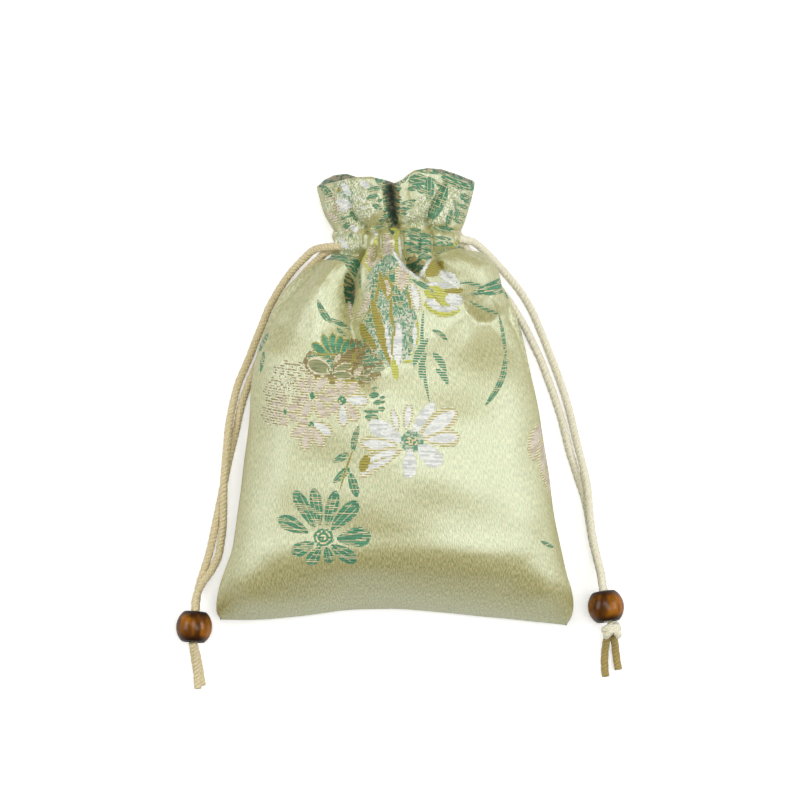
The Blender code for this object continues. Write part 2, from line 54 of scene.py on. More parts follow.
# The camera looks straight down. Places on the front of the cloth are given as they appear to it,
# in picture units from the left and the top, and one unit is UNIT_MM at the middle of the cords' height.
UNIT_MM = 0.31
PICTURE_ZERO = (395.0, 397.0)
CAMERA_XY = (1.55, -0.93)
CAMERA_HEIGHT = 694.9
PLANE_HEIGHT = 6.0

# Cloth sections, in millimetres: y, half width left and right, front, back and side edge heights,
# and how far the section is an oval tube.
SEAM_Y = -65.8
MOUTH_Y = 66.0
CASING_BOTTOM_Y = 43.2
CASING_TOP_Y = 51.2
SECTIONS = np.array((
    (-65.8, 54.2, 53.4, 5, 3, 4, 0),
    (-64.3, 55, 54.4, 9, 1.8, 4.6, 0),
    (-61.8, 55.2, 55.2, 13.5, 0.4, 5.4, 0),
    (-57, 54, 54.9, 19.8, 0, 6.6, 0),
    (-52.5, 52.2, 53.4, 24.3, 0, 7.5, 0),
    (-48, 50.8, 52.2, 26.7, 0, 8.3, 0),
    (-40, 49.2, 50, 27.3, 0, 9, 0),
    (-22, 47.1, 47.4, 28.5, 0, 9.5, 0),
    (-6, 45, 44.8, 28.2, 0, 9.5, 0),
    (8, 43.3, 41.7, 27, 0, 9.5, 0),
    (20, 39.4, 38.6, 25.4, 0, 9.8, 0.05),
    (29, 35, 34.8, 24, 0.2, 10.2, 0.2),
    (36, 29.4, 30.2, 22.4, 0.8, 10.8, 0.55),
    (41, 23.6, 24.6, 20.6, 1.4, 10.8, 0.9),
    (43.2, 20.1, 20.1, 19.8, 1.8, 10.8, 1),
    (51.2, 19.5, 19.5, 19.8, 1.8, 10.8, 1),
    (56.5, 21.8, 21.2, 20.8, 1.5, 10.8, 0.9),
    (66, 24, 24, 22, 1, 10.8, 0.75),
))
# How flat the neck's oval is, and how far the back would sink below the floor it lies on.
NECK_FULLNESS = 2.2
REST_OVERSHOOT = 2.5
# Powers of the sections' outline: how square the front and the back are at the bottom, higher up and as a tube.
FRONT_POWER, FRONT_UPPER, FRONT_TUBE = 0.66, 0.19, 0.15
BACK_POWER, BACK_TUBE = 0.8, 0.2
# How much lower the bottom corners hang than the middle, in millimetres.
DROOP_LEFT, DROOP_RIGHT = 3.0, 4.8
# Rows of the cloth: from y, to y and how many.
ROW_BANDS = ((SEAM_Y, -54.0, 24), (-53.3, 12.0, 88), (12.6, 40.0, 44), (40.4, 54.0, 34), (54.6, MOUTH_Y, 20))
# Pleats on each layer and their heights in the casing, below it and in the header, then the slits where the
# strands come out, and the casing's least height over the cords inside, all in millimetres.
PLEATS, FINE_PLEATS = 9.0, 27.0
CASING_ARCH, CASING_PLEAT, CASING_FINE = 1.3, 0.9, 0.35
BELOW_PLEAT, BELOW_FINE = 1.0, 0.12
HEADER_PLEAT, HEADER_FINE = 0.5, 0.06
FRONT_PLEAT_SHARE = 0.35
SLIT_Y, SLIT_HALF_HEIGHT, SLIT_SHARE, SLIT_DEPTH = 46.8, 2.6, 0.035, 2.4
COVER_X = (-16.5, -14.0, -8.8, -3.9, 6.1, 12.0, 13.5, 16.0)
COVER_Z = (4.0, 15.6, 16.9, 17.3, 17.3, 16.3, 15.8, 4.0)
COVER_GAP, NO_COVER = 1.45, 40.0
COVER_LOW_Y, COVER_HIGH_Y = (43.8, 44.8), (49.7, 50.7)
# Slow crumple of the body: size in picture units and height in millimetres.
CRUMPLE = ((60.0, 0.22), (34.0, 0.12), (18.0, 0.06))
# The header lies a little nearer to the camera than the cords do, so its units are smaller.
HEADER_SCALE = 0.98
# The inner face: every INNER_ROW_STEP-th row, and how many columns it is kept clear of a crease.
INNER_ROW_STEP, INNER_CLEAR, SEAM_CLEAR = 6, 6, 5
SEAM_DEPTH, LIP_HEIGHT, FLOOR_CLEARANCE = 0.35, 0.45, 0.02

# Creases of the front and back, drawn in picture units: how sharp, (x, y, depth in mm, half width in mm)
# along each, and how much wider its right side is. A negative depth is a ridge.
FRONT_CREASES = (
    (3, ((390, 158, 12, 1.7), (390, 186, 11.5, 1.6), (391, 202, 10.5, 1.4), (393, 216, 8, 1.1), (396, 226, 4, 0.8),
        (398, 230, 0, 0.7))),
    (1.3, ((348, 196, 0, 0.9), (350, 208, 1.6, 0.9), (352, 216, 2.4, 0.9), (359, 223, 2.8, 0.8),
        (364.7, 228, 2.8, 0.8), (366, 234, 2.6, 0.8))),
    (1.3, ((364.7, 228, 2.2, 0.8), (371, 228.5, 2.6, 0.8), (379, 226, 2.6, 0.8), (386, 222, 2, 0.8))),
    (1.3, ((366, 236, 2, 0.6), (372, 231.5, 2, 0.6), (383, 227.5, 1.8, 0.6), (392, 226, 1, 0.6))),
    (1.3, ((327, 232, 0.6, 0.8), (336, 234.5, 1.6, 0.7), (345, 234, 2, 0.7), (350, 231, 1.8, 0.7),
        (360, 228, 1.4, 0.7))),
    (1.3, ((325, 246, 0.8, 0.7), (333, 249, 2, 0.7), (342, 251, 2.4, 0.7), (352, 252.5, 2.6, 0.7),
        (361, 251.5, 2.6, 0.7))),
    (1.2, ((366, 233, 2.8, 0.7), (365, 247, 3.6, 0.7), (359, 257, 4.4, 0.9), (354.5, 266, 5, 1.3),
        (351, 278, 5.4, 1.9), (348, 292, 5.4, 2.3), (347, 308, 4.8, 2.6), (349, 325, 4.2, 3), (354, 345, 3.4, 3.6),
        (360, 364, 3, 4.2), (367, 380, 1.8, 4), (374, 396, 0, 3.4))),
    (1.4, ((380, 230, 1.8, 0.6), (380.8, 240, 3, 0.6), (381, 250, 2.2, 0.6), (382, 260, 0.8, 0.6),
        (384, 268, 0, 0.6))),
    (2, ((376, 244, 0, 0.8), (374.5, 252, 3.4, 1.2), (372, 258, 2.4, 1), (369, 263, 0, 0.8))),
    (1.2, ((398, 226, 2, 0.7), (401.5, 232, 3, 0.7), (402.5, 246, 3.6, 0.8), (405.5, 258, 4.4, 1.1),
        (411.5, 266, 4.2, 1.4), (419, 273, 2.6, 1), (428, 281, 0.8, 0.9), (434, 287, 0, 0.9))),
    (2, ((406, 254, 0, 1), (411, 261, 3, 1.7), (416, 267, 1.6, 1.2), (421, 272, 0, 1))),
    (1.3, ((398, 225.5, 2.4, 0.7), (407, 226, 2.8, 0.7), (415, 224, 2.8, 0.7), (424, 220.5, 2.8, 0.7),
        (429, 224, 2.6, 0.7))),
    (1.3, ((452, 176, 0, 1.2), (445.5, 186, 1.6, 1.1), (434, 204, 2.6, 1), (427.5, 215, 3, 0.9),
        (430, 226, 3.2, 0.8), (432, 236, 3, 0.7), (432.8, 247, 3, 0.7), (437, 254, 3.2, 0.8), (441, 263, 3.2, 0.9),
        (447, 270, 3, 1.2), (455, 279, 1.6, 1.6), (462, 286, 0, 2))),
    (1.3, ((448, 268, 0.4, 2), (455, 282, 2.2, 2.6), (462, 297, 3.6, 3.4), (471, 310, 4.8, 4.2),
        (484, 320, 5.2, 4.8), (497, 320, 4.8, 4.8), (507, 313, 3, 4.4), (514, 302, 0, 4)), 2.8),
    (1.3, ((431, 226, 1.6, 0.7), (442, 229, 2, 0.7), (452, 231, 2, 0.7), (460, 232, 1, 0.7))),
    (1.3, ((433, 250, 1.8, 0.7), (441, 250.5, 2.2, 0.7), (450, 248, 2, 0.7), (462, 241, 1.2, 0.8))),
    (1.5, ((336, 237, 0.4, 0.5), (334, 247, 1.2, 0.5))),
    (1.5, ((342, 237, 0.9, 0.45), (340, 249, 1.3, 0.45))),
    (1.5, ((349, 235, 0.8, 0.5), (346.5, 251, 1.4, 0.5))),
    (1.5, ((357, 233, 0.8, 0.5), (354, 251, 1.2, 0.5))),
    (1.5, ((410, 230, 0.8, 0.5), (411, 252, 1, 0.5))),
    (1.5, ((419, 228, 0.8, 0.5), (419, 256, 1, 0.5))),
    (1.5, ((426, 228, 0.7, 0.5), (427, 252, 0.8, 0.5))),
    (1.5, ((442, 232, 0.7, 0.5), (441, 249, 0.9, 0.5))),
    (1.5, ((451, 233, 0.6, 0.5), (452, 246, 0.8, 0.5))),
    (1.5, ((333, 186, 0.8, 1), (331, 200, 1.6, 1), (334, 216, 1.2, 0.9), (338, 230, 0.8, 0.7))),
    (1.5, ((414, 173, 0.4, 1), (411, 190, 1, 1), (413, 207, 0.8, 0.9))),
    (1.5, ((464, 180, 0.4, 1.2), (459, 202, 1.4, 1.2), (450, 226, 1.2, 0.8))),
    (2, ((364, 186, 0, 3.4), (368, 203, -2, 3.6), (369, 216, -1.2, 2.6), (370, 223, 0, 2))),
    (2, ((340, 190, 0, 3), (341, 205, -1.2, 3), (345, 222, -0.6, 2.2), (346, 228, 0, 2))),
    (2, ((404, 184, -0.4, 2.4), (405, 205, -1.6, 2.8), (412, 216, -1.2, 2.4), (416, 221, 0, 2))),
    (2, ((456, 190, 0, 3), (448, 208, -1.2, 2.6), (440, 222, -0.8, 2), (438, 228, 0, 2))),
    (2, ((391, 230, -0.8, 1.6), (391.5, 240, -2, 1.8), (392, 252, -2, 1.9), (393, 264, -1.2, 2),
        (393, 278, 0, 2.4))),
    (2, ((392, 254, -0.5, 0.9), (401, 264, -1.4, 0.8), (410, 272.5, -1.6, 0.8), (420, 280, -1, 0.8),
        (430, 287, 0, 0.8))),
    (2, ((377, 232, -0.6, 1), (370, 246, -1.2, 1), (363, 261, -1.4, 1), (361, 276, -0.8, 1.4), (358, 294, 0, 1.6))),
    (2, ((370, 270, 0, 3), (372, 292, -1.6, 4), (376, 318, -1.8, 5), (384, 345, -1.2, 6), (392, 372, 0, 7))),
    (2, ((446, 250, 0, 2.5), (460, 258, -1.6, 3.8), (478, 268, -3.4, 5), (492, 277, -2.6, 4.6), (503, 288, 0, 4))),
    (2, ((343, 256, 0, 2), (334, 268, -1.4, 3), (322, 288, -2, 3.8), (310, 310, -1.4, 4.2), (300, 334, 0, 5))),
    (2, ((352, 262, 0, 3), (345, 285, 2.4, 4.6), (341, 305, 2.8, 5), (340, 322, 2.4, 5), (348, 342, 1.4, 5),
        (356, 360, 0.8, 5), (366, 384, 0, 4))),
    (2, ((322, 250, 0, 2), (308, 268, 2, 2.8), (292, 296, 3, 3.6), (280, 324, 2.6, 4.2), (270, 352, 0, 4.4))),
    (2, ((404, 290, 0, 2.5), (414, 312, 0.8, 3.5), (424, 340, 0.4, 5), (428, 372, 0, 6))),
    (2, ((262, 420, 0, 4), (258, 470, 0.8, 6), (250, 530, 0.6, 7), (240, 580, 0, 6))),
    (2, ((534, 420, 0, 4), (540, 480, 0.5, 6), (548, 540, 0.8, 5), (558, 590, 0, 5))),
    (2, ((228, 606, 0, 2), (248, 590, -1, 5), (272, 574, 0, 8))),
    (2, ((561, 610, 0, 2), (544, 592, -1, 5), (520, 574, 0, 8))),
)
BACK_CREASES = (
    (2, ((344, 180, 2.4, 2.6), (350, 214, 2.4, 1.8), (356, 230, 0.4, 1))),
    (2, ((420, 180, 2.6, 2.6), (416, 214, 2.6, 1.8), (412, 230, 0.4, 1))),
    (2, ((372, 258, 0.2, 0.9), (370, 272, 2.2, 1.6), (362, 300, 1.6, 3), (356, 340, 0, 4))),
    (2, ((418, 258, 0.2, 0.9), (420, 272, 2.2, 1.6), (430, 300, 1.6, 3), (436, 340, 0, 4))),
)
# Top edge of the header in picture units: x, then y of the front and of the back.
TOP_EDGE = np.array((
    (316, 192, 188), (322, 186, 182), (331, 184, 177.5), (343, 181, 176.5), (356, 178.5, 179), (372, 178, 180),
    (383, 182, 184), (391, 187, 186), (400, 184, 184), (408, 176, 178), (415, 171.5, 172), (428, 171, 169.5),
    (441, 173, 170), (456, 178, 175), (473, 186, 182),
))

# Colours of the woven threads. The deepest green is dark thread darkened further to stand in as painted shade of the
# folds where it lies.
TEAL_TONE, DEEP_AND_FOLD_SHADE_TONE, OLIVE_TONE = (0.060, 0.265, 0.135), (0.024, 0.115, 0.048), (0.42, 0.36, 0.040)
LIME_TONE, SNOW_TONE, PINK_TONE = (0.64, 0.66, 0.10), (0.88, 0.89, 0.85), (0.74, 0.66, 0.54)
CREAM_TONE, GREY_TONE = (0.80, 0.66, 0.38), (0.62, 0.65, 0.62)
# Kinds of motif, with the colours of each one's fill and of the threads that hatch it.
TEAL, OLIVE, SNOW, PINK, LIME, STALK, DARK_AND_FOLD_SHADE, SPECK, WHITE, RINGED, BROWN_AND_FOLD_SHADE, GILT, MOSS = range(13)
KIND_TONES = (
    (TEAL_TONE, CREAM_TONE), (OLIVE_TONE, (0.27, 0.21, 0.03)), (SNOW_TONE, GREY_TONE),
    (PINK_TONE, (0.56, 0.46, 0.34)), (LIME_TONE, (0.40, 0.38, 0.06)), (TEAL_TONE, CREAM_TONE),
    (DEEP_AND_FOLD_SHADE_TONE, (0.42, 0.32, 0.12)), ((0.68, 0.67, 0.52), (0.11, 0.32, 0.18)), (SNOW_TONE, GREY_TONE),
    # the brown fill is olive-brown thread darkened further as painted shade of a fold
    ((0.32, 0.33, 0.14), (0.13, 0.18, 0.07)), ((0.25, 0.19, 0.06), (0.42, 0.34, 0.12)),
    (TEAL_TONE, (0.17, 0.44, 0.25)), ((0.88, 0.90, 0.70), (0.46, 0.50, 0.25)),
)
# Woven motifs, in picture units, each drawn over the ones before it: a kind, then its petals and leaves. Each
# runs from one point to another: x, y, x, y, width, and where not 0 its bow and how much wider its far half is.
MOTIFS = (
    # dark threads down the middle fold, darkened further as painted shade of the fold
    (DARK_AND_FOLD_SHADE, (390, 160, 393, 234, 17)), (TEAL, (397, 185, 400, 190, 5)),
    # left lobe of the header
    (MOSS, (322, 200, 382, 200, 44), (326, 214, 366, 226, 18)), (SPECK, (340, 183, 352, 204, 14)),
    (SNOW, (360, 182, 370, 187, 7), (333, 204, 352, 206, 13), (341, 182, 350, 196, 7), (358, 196, 362, 199, 4),
        (361, 206, 366, 209, 4)), (PINK, (323, 198, 333, 199, 6), (330, 207, 341, 209, 10)),
    (TEAL, (321, 186, 329, 197, 7)), (OLIVE, (336, 189, 341, 190, 5)), (TEAL, (368, 190, 381, 188, 6),
        (367, 199, 378, 195, 6), (376, 201, 383, 200, 4), (373, 204, 382, 209, 5), (375, 178, 385, 192, 5, -1),
        (385, 195, 387, 213, 5), (379, 222, 389, 214, 6), (370, 231, 387, 225, 3.5, -1),
        (337, 221, 352, 216, 3.5, -1), (341, 229, 350, 223, 5.5), (349, 211, 356, 223, 3.5)),
    (SNOW, (349, 226, 357, 232, 7)), (PINK, (337, 230, 348, 232, 5), (325, 212, 335, 224, 6)),
    # right lobe of the header
    (MOSS, (402, 222, 470, 190, 34)), (TEAL, (416, 171, 456, 173.5, 4), (401, 183, 408, 174, 5),
        (408, 181.5, 427, 179, 13), (407, 189, 418, 188, 5), (416, 185, 424, 193, 7), (431, 178, 446, 191, 4),
        (429.5, 176, 428.5, 200, 10), (447, 182, 430, 220, 12), (438, 206, 433, 214, 4), (441, 176, 474, 188, 13),
        (461, 194, 469, 202, 8), (456, 203, 466, 208, 4.5), (455, 209, 463, 217, 5), (449, 209, 446, 227, 7),
        (450, 196, 456, 223, 4, -2), (453, 219, 461, 222, 4.5), (434, 228, 454, 230, 6), (399, 204, 416, 200, 4),
        (398, 210, 414, 205, 4.5), (398, 215, 407, 212, 3)),
    # the casing
    (MOSS, (324, 240, 364, 243, 20)), (TEAL, (347, 234, 354, 237, 3)), (SNOW, (340, 239, 348, 247, 6)),
    (TEAL, (402, 231.5, 421, 230, 5), (405, 236, 431, 237, 8), (404, 242.5, 432, 243.5, 7),
        # the dark patch in the fold's pocket is dark threads and painted shade of the fold
        (406, 249, 433, 249.5, 8)), (DARK_AND_FOLD_SHADE, (407, 256, 426, 269, 11)), (TEAL, (418, 256, 432, 258, 6),
        (432, 238, 447, 238.5, 4.5), (433, 243.5, 448, 243, 4), (437, 252, 450, 248, 3)),
    (LIME, (446, 246, 460, 241, 6)), (TEAL, (322, 257, 360, 260, 10, -2), (344, 260, 357, 269, 8)),
    (LIME, (378, 238, 361, 264, 3.4)), (PINK, (374, 244, 368, 260, 6), (364, 266, 388, 261, 13)),
    (LIME, (361, 262, 377, 276, 3), (376, 275, 394, 266, 3)), (PINK, (387, 232, 388, 269, 12)),
    (LIME, (390, 228, 400, 233, 4, -1), (396, 231, 399, 257, 5)), (SNOW, (399, 237, 401, 257, 3),
        (371, 231, 378, 235, 3)),
    # the tall lily
    # the dark patch along the left fold is dark threads and painted shade of the fold
    (SPECK, (387, 256, 394, 367, 54)), (TEAL, (359, 264, 360, 288, 2.4)), (DARK_AND_FOLD_SHADE, (347, 270, 347, 304, 12)),
    (PINK, (345, 296, 351, 318, 6), (381, 270, 354, 318, 8, -5)), (TEAL, (376, 274, 366, 330, 12, -5)),
    (OLIVE, (379, 270, 360, 322, 3, -7)), (TEAL, (392, 268, 391, 304, 20)), (OLIVE, (386, 276, 388, 300, 12)),
    (PINK, (386, 279, 387.5, 297, 8)), (TEAL, (395, 290, 401, 310, 11)), (OLIVE, (380, 272, 375, 330, 7, -6),
        (372, 298, 397, 374, 9.5, 2.5)), (SPECK, (381, 290, 388, 330, 9)), (OLIVE, (392, 296, 396, 332, 4, 3),
        (395, 326, 392, 360, 5)), (SNOW, (399, 322, 397, 368, 9)), (PINK, (402, 264, 402, 291, 14)),
    (WHITE, (411, 282, 418, 311, 11, -1)), (LIME, (417, 318, 405, 362, 5, -5)), (SNOW, (415, 322, 406, 360, 6, -3)),
    (TEAL, (411, 330, 409, 356, 5, -1)), (SNOW, (386, 322, 392, 362, 4, 1)), (OLIVE, (405, 288, 410, 312, 3, -2),
        (360, 322, 377, 350, 9, 2)), (LIME, (402, 362, 414, 360, 3), (393, 358, 397, 380, 7)),
    # the lime blossom
    (OLIVE, (426, 276, 443, 260, 15)), (SNOW, (440, 269, 460, 287, 13)), (LIME, (424, 292, 461, 296, 20)),
    (SNOW, (426, 284, 461, 285, 5)), (LIME, (424, 303, 463, 308, 14, 3)), (SNOW, (426, 299, 444, 309, 9),
        (433, 308, 461, 307, 6), (446, 297, 465, 299, 13)), (LIME, (437, 298, 447, 304, 6)),
    (OLIVE, (444, 290, 464, 289.5, 6)), (TEAL, (412, 280, 434, 291.5, 4.5)), (OLIVE, (429, 290, 445, 307, 1.6)),
    (SNOW, (392, 252, 421, 280, 6, 2), (417, 280, 431, 259, 4)),
    # fern right of the lily
    (STALK, (424, 309, 430, 402, 4.2, 4)), (TEAL, (433, 329, 449, 340, 5, -2)), (STALK, (429, 337, 414, 366, 7.4, 2),
        (427, 352, 421, 378, 5.6, 2), (433, 351, 447, 373, 6.8, -2), (436, 368, 449, 384, 6, -2)),
    # sprig over the white flower
    (TEAL, (364, 411, 379, 411.5, 5), (365, 417, 379, 418, 7), (378, 409, 385, 409, 5), (373, 403, 385, 401.5, 5),
        (369, 396, 379, 394.5, 6), (380, 398, 385, 397, 3), (361, 406, 367, 406.5, 3), (372, 389, 377, 388, 4)),
    # stem down to the green flower
    (TEAL, (358.5, 426, 353, 452, 6.5, 1), (332, 462, 349, 454, 7, 0, 0.3), (333, 483, 349, 468, 8, 0, 0.2),
        (350, 473, 357, 497, 9)), (OLIVE, (353, 450, 340, 490, 2.2, 1)),
    # right shoulder
    (TEAL, (468, 294, 509, 286, 11, 0, 0.6)), (STALK, (456, 281, 484, 290, 2.6, -1), (472, 300, 506, 312, 2.6, 2)),
    (TEAL, (505, 312, 507, 368, 3.4, -4), (510, 350, 486, 405, 6, -5)),
    # left shoulder and the edges
    (TEAL, (319, 300, 330, 322, 6, 2, 0.3), (326, 318, 348, 326, 5, -1), (335, 326, 343, 334, 4),
        (544, 541, 558, 547, 4), (268, 332, 262, 352, 4), (266, 352, 262, 372, 4)),
    (PINK, (547, 420, 535, 460, 15, 3), (545, 440, 549, 482, 12), (551, 462, 555, 500, 10)),
    (OLIVE, (552, 418, 556, 450, 9)),
    # olive and green chrysanthemum on a brown ground that is partly painted shade of the fold over it
    (BROWN_AND_FOLD_SHADE, (304, 362, 384, 366, 46), (322, 350, 372, 352, 30)), (TEAL, (308, 357, 330, 362, 12)),
    (GILT, (330, 358, 312, 343, 9, 0, 0.3), (332, 356, 322, 334, 8, 0, 0.3), (334, 354, 331, 332, 8.5, 0, 0.2),
        (337, 354, 339, 334, 8, 0, 0.3), (341, 354, 346.5, 336, 7), (345, 353, 354, 338, 6)),
    (TEAL, (350, 352, 362, 340, 3), (354, 350, 366, 337, 3), (362, 366, 368, 347, 6), (367, 364, 374, 349, 5),
        (368, 365, 383, 355, 6), (372, 370, 385, 367, 7)), (RINGED, (332, 372, 308, 362, 17, 0, 0.2)),
    (BROWN_AND_FOLD_SHADE, (341, 360, 360, 347, 14, 0, 0.2)), (PINK, (334, 362, 339, 353, 5)),
    (RINGED, (334, 370, 352, 364, 9, 0, 0.2), (332, 374, 352, 376, 9, 0, 0.2)), (PINK, (354, 377, 361, 364, 7)),
    (RINGED, (357, 376, 372, 380, 7), (362, 374, 371, 369, 7)), (TEAL, (352, 381, 360, 379, 4),
        (332, 352, 331, 372, 3)), (OLIVE, (322, 380, 362, 382, 4), (355, 346, 349, 368, 3),
        (312, 352, 336, 353, 3, 2)),
    # pale blossoms
    (PINK, (311, 394, 298, 380, 12, 0, 0.3), (313, 394, 309, 375, 11, 0, 0.3), (314, 394, 327, 377, 14, 0, 0.3),
        (316, 397, 337, 399, 13, 0, 0.3), (315, 399, 328, 419, 15, 0, 0.3), (311, 399, 303, 418, 13, 0, 0.3),
        (309, 397, 293, 405, 12, 0, 0.3), (286, 410, 272, 402, 11, 0, 0.3), (286, 409, 280, 393, 10, 0, 0.3),
        (287, 410, 301, 404, 11, 0, 0.3), (287, 413, 300, 420, 11, 0, 0.3), (284, 414, 283, 427, 10, 0, 0.3),
        (283, 412, 270, 417, 9, 0, 0.3), (342, 397, 326, 389, 11, 0, 0.3), (341, 397, 340, 379, 12, 0, 0.3),
        (344, 397, 358, 383, 14, 0, 0.3)), (WHITE, (345, 400, 369, 401, 15, 0, 0.3)),
    (PINK, (344, 402, 358, 421, 13, 0, 0.3)), (WHITE, (342, 403, 344, 427, 12, 0, 0.3)),
    (PINK, (341, 402, 329, 413, 11, 0, 0.3)), (WHITE, (312, 422, 332, 435, 14, 0, 0.3)),
    (PINK, (311, 426, 323, 447, 12, 0, 0.3), (309, 427, 304, 450, 13, 0, 0.3), (308, 425, 292, 437, 12, 0, 0.3),
        (310, 422, 297, 420, 9, 0, 0.3)),
    # white flower
    (SPECK, (400, 442, 424, 440, 22)), (WHITE, (398, 431, 392, 408, 8), (406, 430, 409.5, 403, 10, 0, 0.2)),
    (SNOW, (414, 432, 434, 402, 12, 0, 0.1)), (WHITE, (421, 437, 457, 410, 22, 0, 0.1),
        (424, 440, 459.5, 437, 16, 0, 0.5)), (SNOW, (418, 445, 441, 465, 18, 0, 0.2),
        (410, 449, 409, 478, 13, 0, 0.3), (402, 441, 369, 423, 18, 0, 0.2)),
    (WHITE, (398, 446, 360, 443, 15, 0, 0.3), (400, 450, 360, 478, 17, 5), (394, 457, 363, 471, 9)),
    (OLIVE, (368, 455, 361, 472, 10)), (SPECK, (404, 444, 419, 440, 9)),
    # green flower
    (TEAL, (315, 528, 294, 491, 13, 0, 0.3), (320, 526, 313, 488, 12, 0, 0.3), (326, 527, 336, 491, 12, 0, 0.3),
        (331, 530, 358, 502, 15, 0, 0.35), (336, 539, 371, 536, 18, 0, 0.4), (331, 545, 356, 563, 14, 0, 0.3),
        (326, 547, 330, 564, 9, 0, 0.3), (320, 547, 309, 565, 12, 0, 0.4), (314, 543, 291.5, 553, 13, 0, 0.3),
        (308, 533, 278, 518, 14, 0, 0.35)),
)
# Round hearts and ringed blooms drawn over the petals: centre, half width, half height, kind.
HEART, DOT, SCALES = range(3)
HEARTS = (
    (323, 537.5, 10.5, 9.5, HEART), (411.2, 441.5, 7.5, 5.0, DOT), (312.6, 396, 3.6, 3.6, DOT),
    (285, 412, 3.0, 3.0, DOT), (311.3, 424.5, 3.2, 3.2, DOT), (342.6, 400.5, 4.4, 4.8, DOT),
    (329, 370.5, 3.0, 2.6, DOT),
    (291, 380, 21, 20, SCALES), (276, 392, 12, 15, SCALES), (272, 415, 11, 12, SCALES), (300, 398, 9, 9, SCALES),
)
# Pitches of the weave in millimetres: rows of thread, rows of dashes and rows of stitches.
THREAD_ROW, DASH_ROW, STITCH_ROW = 0.40, 0.56, 0.80
OUTLINE_POWER = 0.55

# Paths of the drawstrings and of the cut tails below the knots, in tenths of a millimetre.
LEFT_ROUTE = (
    (-623, -719, 71), (-620, -670, 63), (-617, -621, 54), (-598, -578, 44), (-571, -539, 29), (-551, -496, 16),
    (-542, -447, 17), (-536, -399, 26), (-534, -350, 34), (-533, -301, 40), (-531, -251, 40), (-527, -202, 39),
    (-523, -152, 36), (-519, -103, 29), (-512, -55, 21), (-502, -6, 15), (-489, 42, 13), (-470, 88, 12),
    (-451, 133, 13), (-433, 180, 13), (-414, 226, 13), (-396, 272, 13), (-373, 316, 12), (-347, 358, 12),
    (-317, 397, 21), (-285, 428, 41), (-254, 453, 71), (-221, 460, 107), (-183, 461, 138), (-137, 460, 157),
    (-88, 459, 166), (-39, 459, 171), (11, 459, 171), (61, 459, 170), (110, 459, 162), (150, 459, 136),
    (153, 459, 88), (118, 459, 56), (69, 459, 46), (20, 459, 44), (-30, 459, 44), (-79, 460, 53), (-123, 464, 74),
    (-168, 463, 94), (-211, 448, 83), (-240, 425, 50), (-272, 396, 25), (-304, 360, 14), (-333, 320, 12),
    (-358, 277, 12), (-379, 232, 13), (-398, 186, 13), (-415, 140, 13), (-434, 94, 13), (-454, 48, 13),
    (-471, 2, 12), (-484, -46, 13), (-494, -95, 13), (-506, -143, 13), (-518, -192, 12), (-528, -240, 12),
    (-538, -289, 13), (-548, -337, 13), (-558, -386, 13), (-568, -435, 13), (-579, -483, 12), (-593, -531, 13),
    (-608, -578, 19), (-617, -625, 28), (-620, -674, 37), (-624, -723, 46),
)
RIGHT_ROUTE = (
    (660, -693, 78), (653, -645, 69), (646, -596, 61), (640, -548, 52), (629, -500, 44), (618, -451, 40),
    (610, -402, 39), (605, -353, 40), (601, -303, 37), (594, -254, 32), (583, -206, 25), (571, -158, 19),
    (560, -110, 14), (549, -62, 13), (536, -14, 12), (521, 34, 12), (504, 81, 12), (486, 127, 13), (468, 173, 12),
    (449, 219, 12), (429, 265, 13), (405, 308, 13), (376, 349, 12), (344, 387, 15), (311, 422, 28), (279, 452, 50),
    (247, 476, 80), (213, 484, 115), (173, 488, 143), (126, 487, 159), (77, 486, 168), (27, 485, 171),
    (-23, 485, 171), (-72, 485, 169), (-121, 485, 159), (-157, 485, 127), (-152, 485, 79), (-112, 485, 53),
    (-63, 485, 46), (-13, 485, 44), (37, 485, 44), (85, 487, 55), (130, 492, 77), (175, 491, 95), (213, 468, 79),
    (236, 438, 47), (264, 404, 24), (297, 368, 13), (331, 332, 12), (361, 292, 12), (387, 250, 13), (411, 207, 13),
    (433, 162, 13), (454, 117, 13), (472, 70, 13), (489, 24, 13), (505, -23, 13), (520, -71, 13), (532, -119, 12),
    (544, -168, 13), (559, -215, 13), (574, -262, 13), (590, -310, 13), (601, -358, 12), (609, -407, 13),
    (618, -456, 14), (629, -504, 19), (640, -552, 26), (647, -601, 35), (654, -649, 44), (661, -698, 52),
)
LEFT_TAILS = (
    ((-627, -762, 73), (-622, -812, 51), (-616, -856, 39), (-613, -907, 36)),
    ((-625, -762, 58), (-615, -812, 29), (-609, -856, 15), (-602, -900, 14)),
)
RIGHT_TAILS = (
    ((664, -735, 40), (658, -765, 26), (655, -794, 16), (654, -834, 14), (657, -872, 14)),
    ((676, -735, 40), (684, -762, 26), (688, -790, 16), (692, -820, 14), (697, -850, 14)),
)
# Centre of each bead, the direction of its bore towards the neck, and the middle of each knot, in metres.
LEFT_BEAD = ((-0.0623, -0.0713, 0.0057), (0.0687, 0.9824, -0.1736))
RIGHT_BEAD = ((0.0654, -0.0650, 0.0057), (-0.1371, 0.9752, -0.1736))
LEFT_KNOT = (-0.0625, -0.07415, 0.0062)
RIGHT_KNOT = (0.06702, -0.07227, 0.00639)
# The cords' twist: how many plies, how thick the cord is in their grooves and how much more on their backs.
PLIES, PLY_GROOVE, PLY_BACK, PLY_POWER = 3, 0.94, 0.14, 0.7
# Mesh steps along in metres and round, then a turn's and a tail's thickness and twist as shares of the cord's.
CORD_STEP, TURN_STEP, TAIL_STEP = 0.00055, 0.0004, 0.0005
CORD_AROUND, KNOT_AROUND = 18, 16
TURN_THICKNESS, TAIL_THICKNESS, TAIL_TWIST = {"left": 0.9, "right": 0.92}, 0.98, 1.3
BEAD_ROWS, BEAD_STEPS = 16, 64
CURVE_SAMPLES = 6000


# Numbers

def ease(low, high, at):
    """0 at low and below, 1 at high and above, smooth in between."""
    t = np.clip((at - low) / (high - low), 0.0, 1.0)
    return t * t * (3.0 - 2.0 * t)


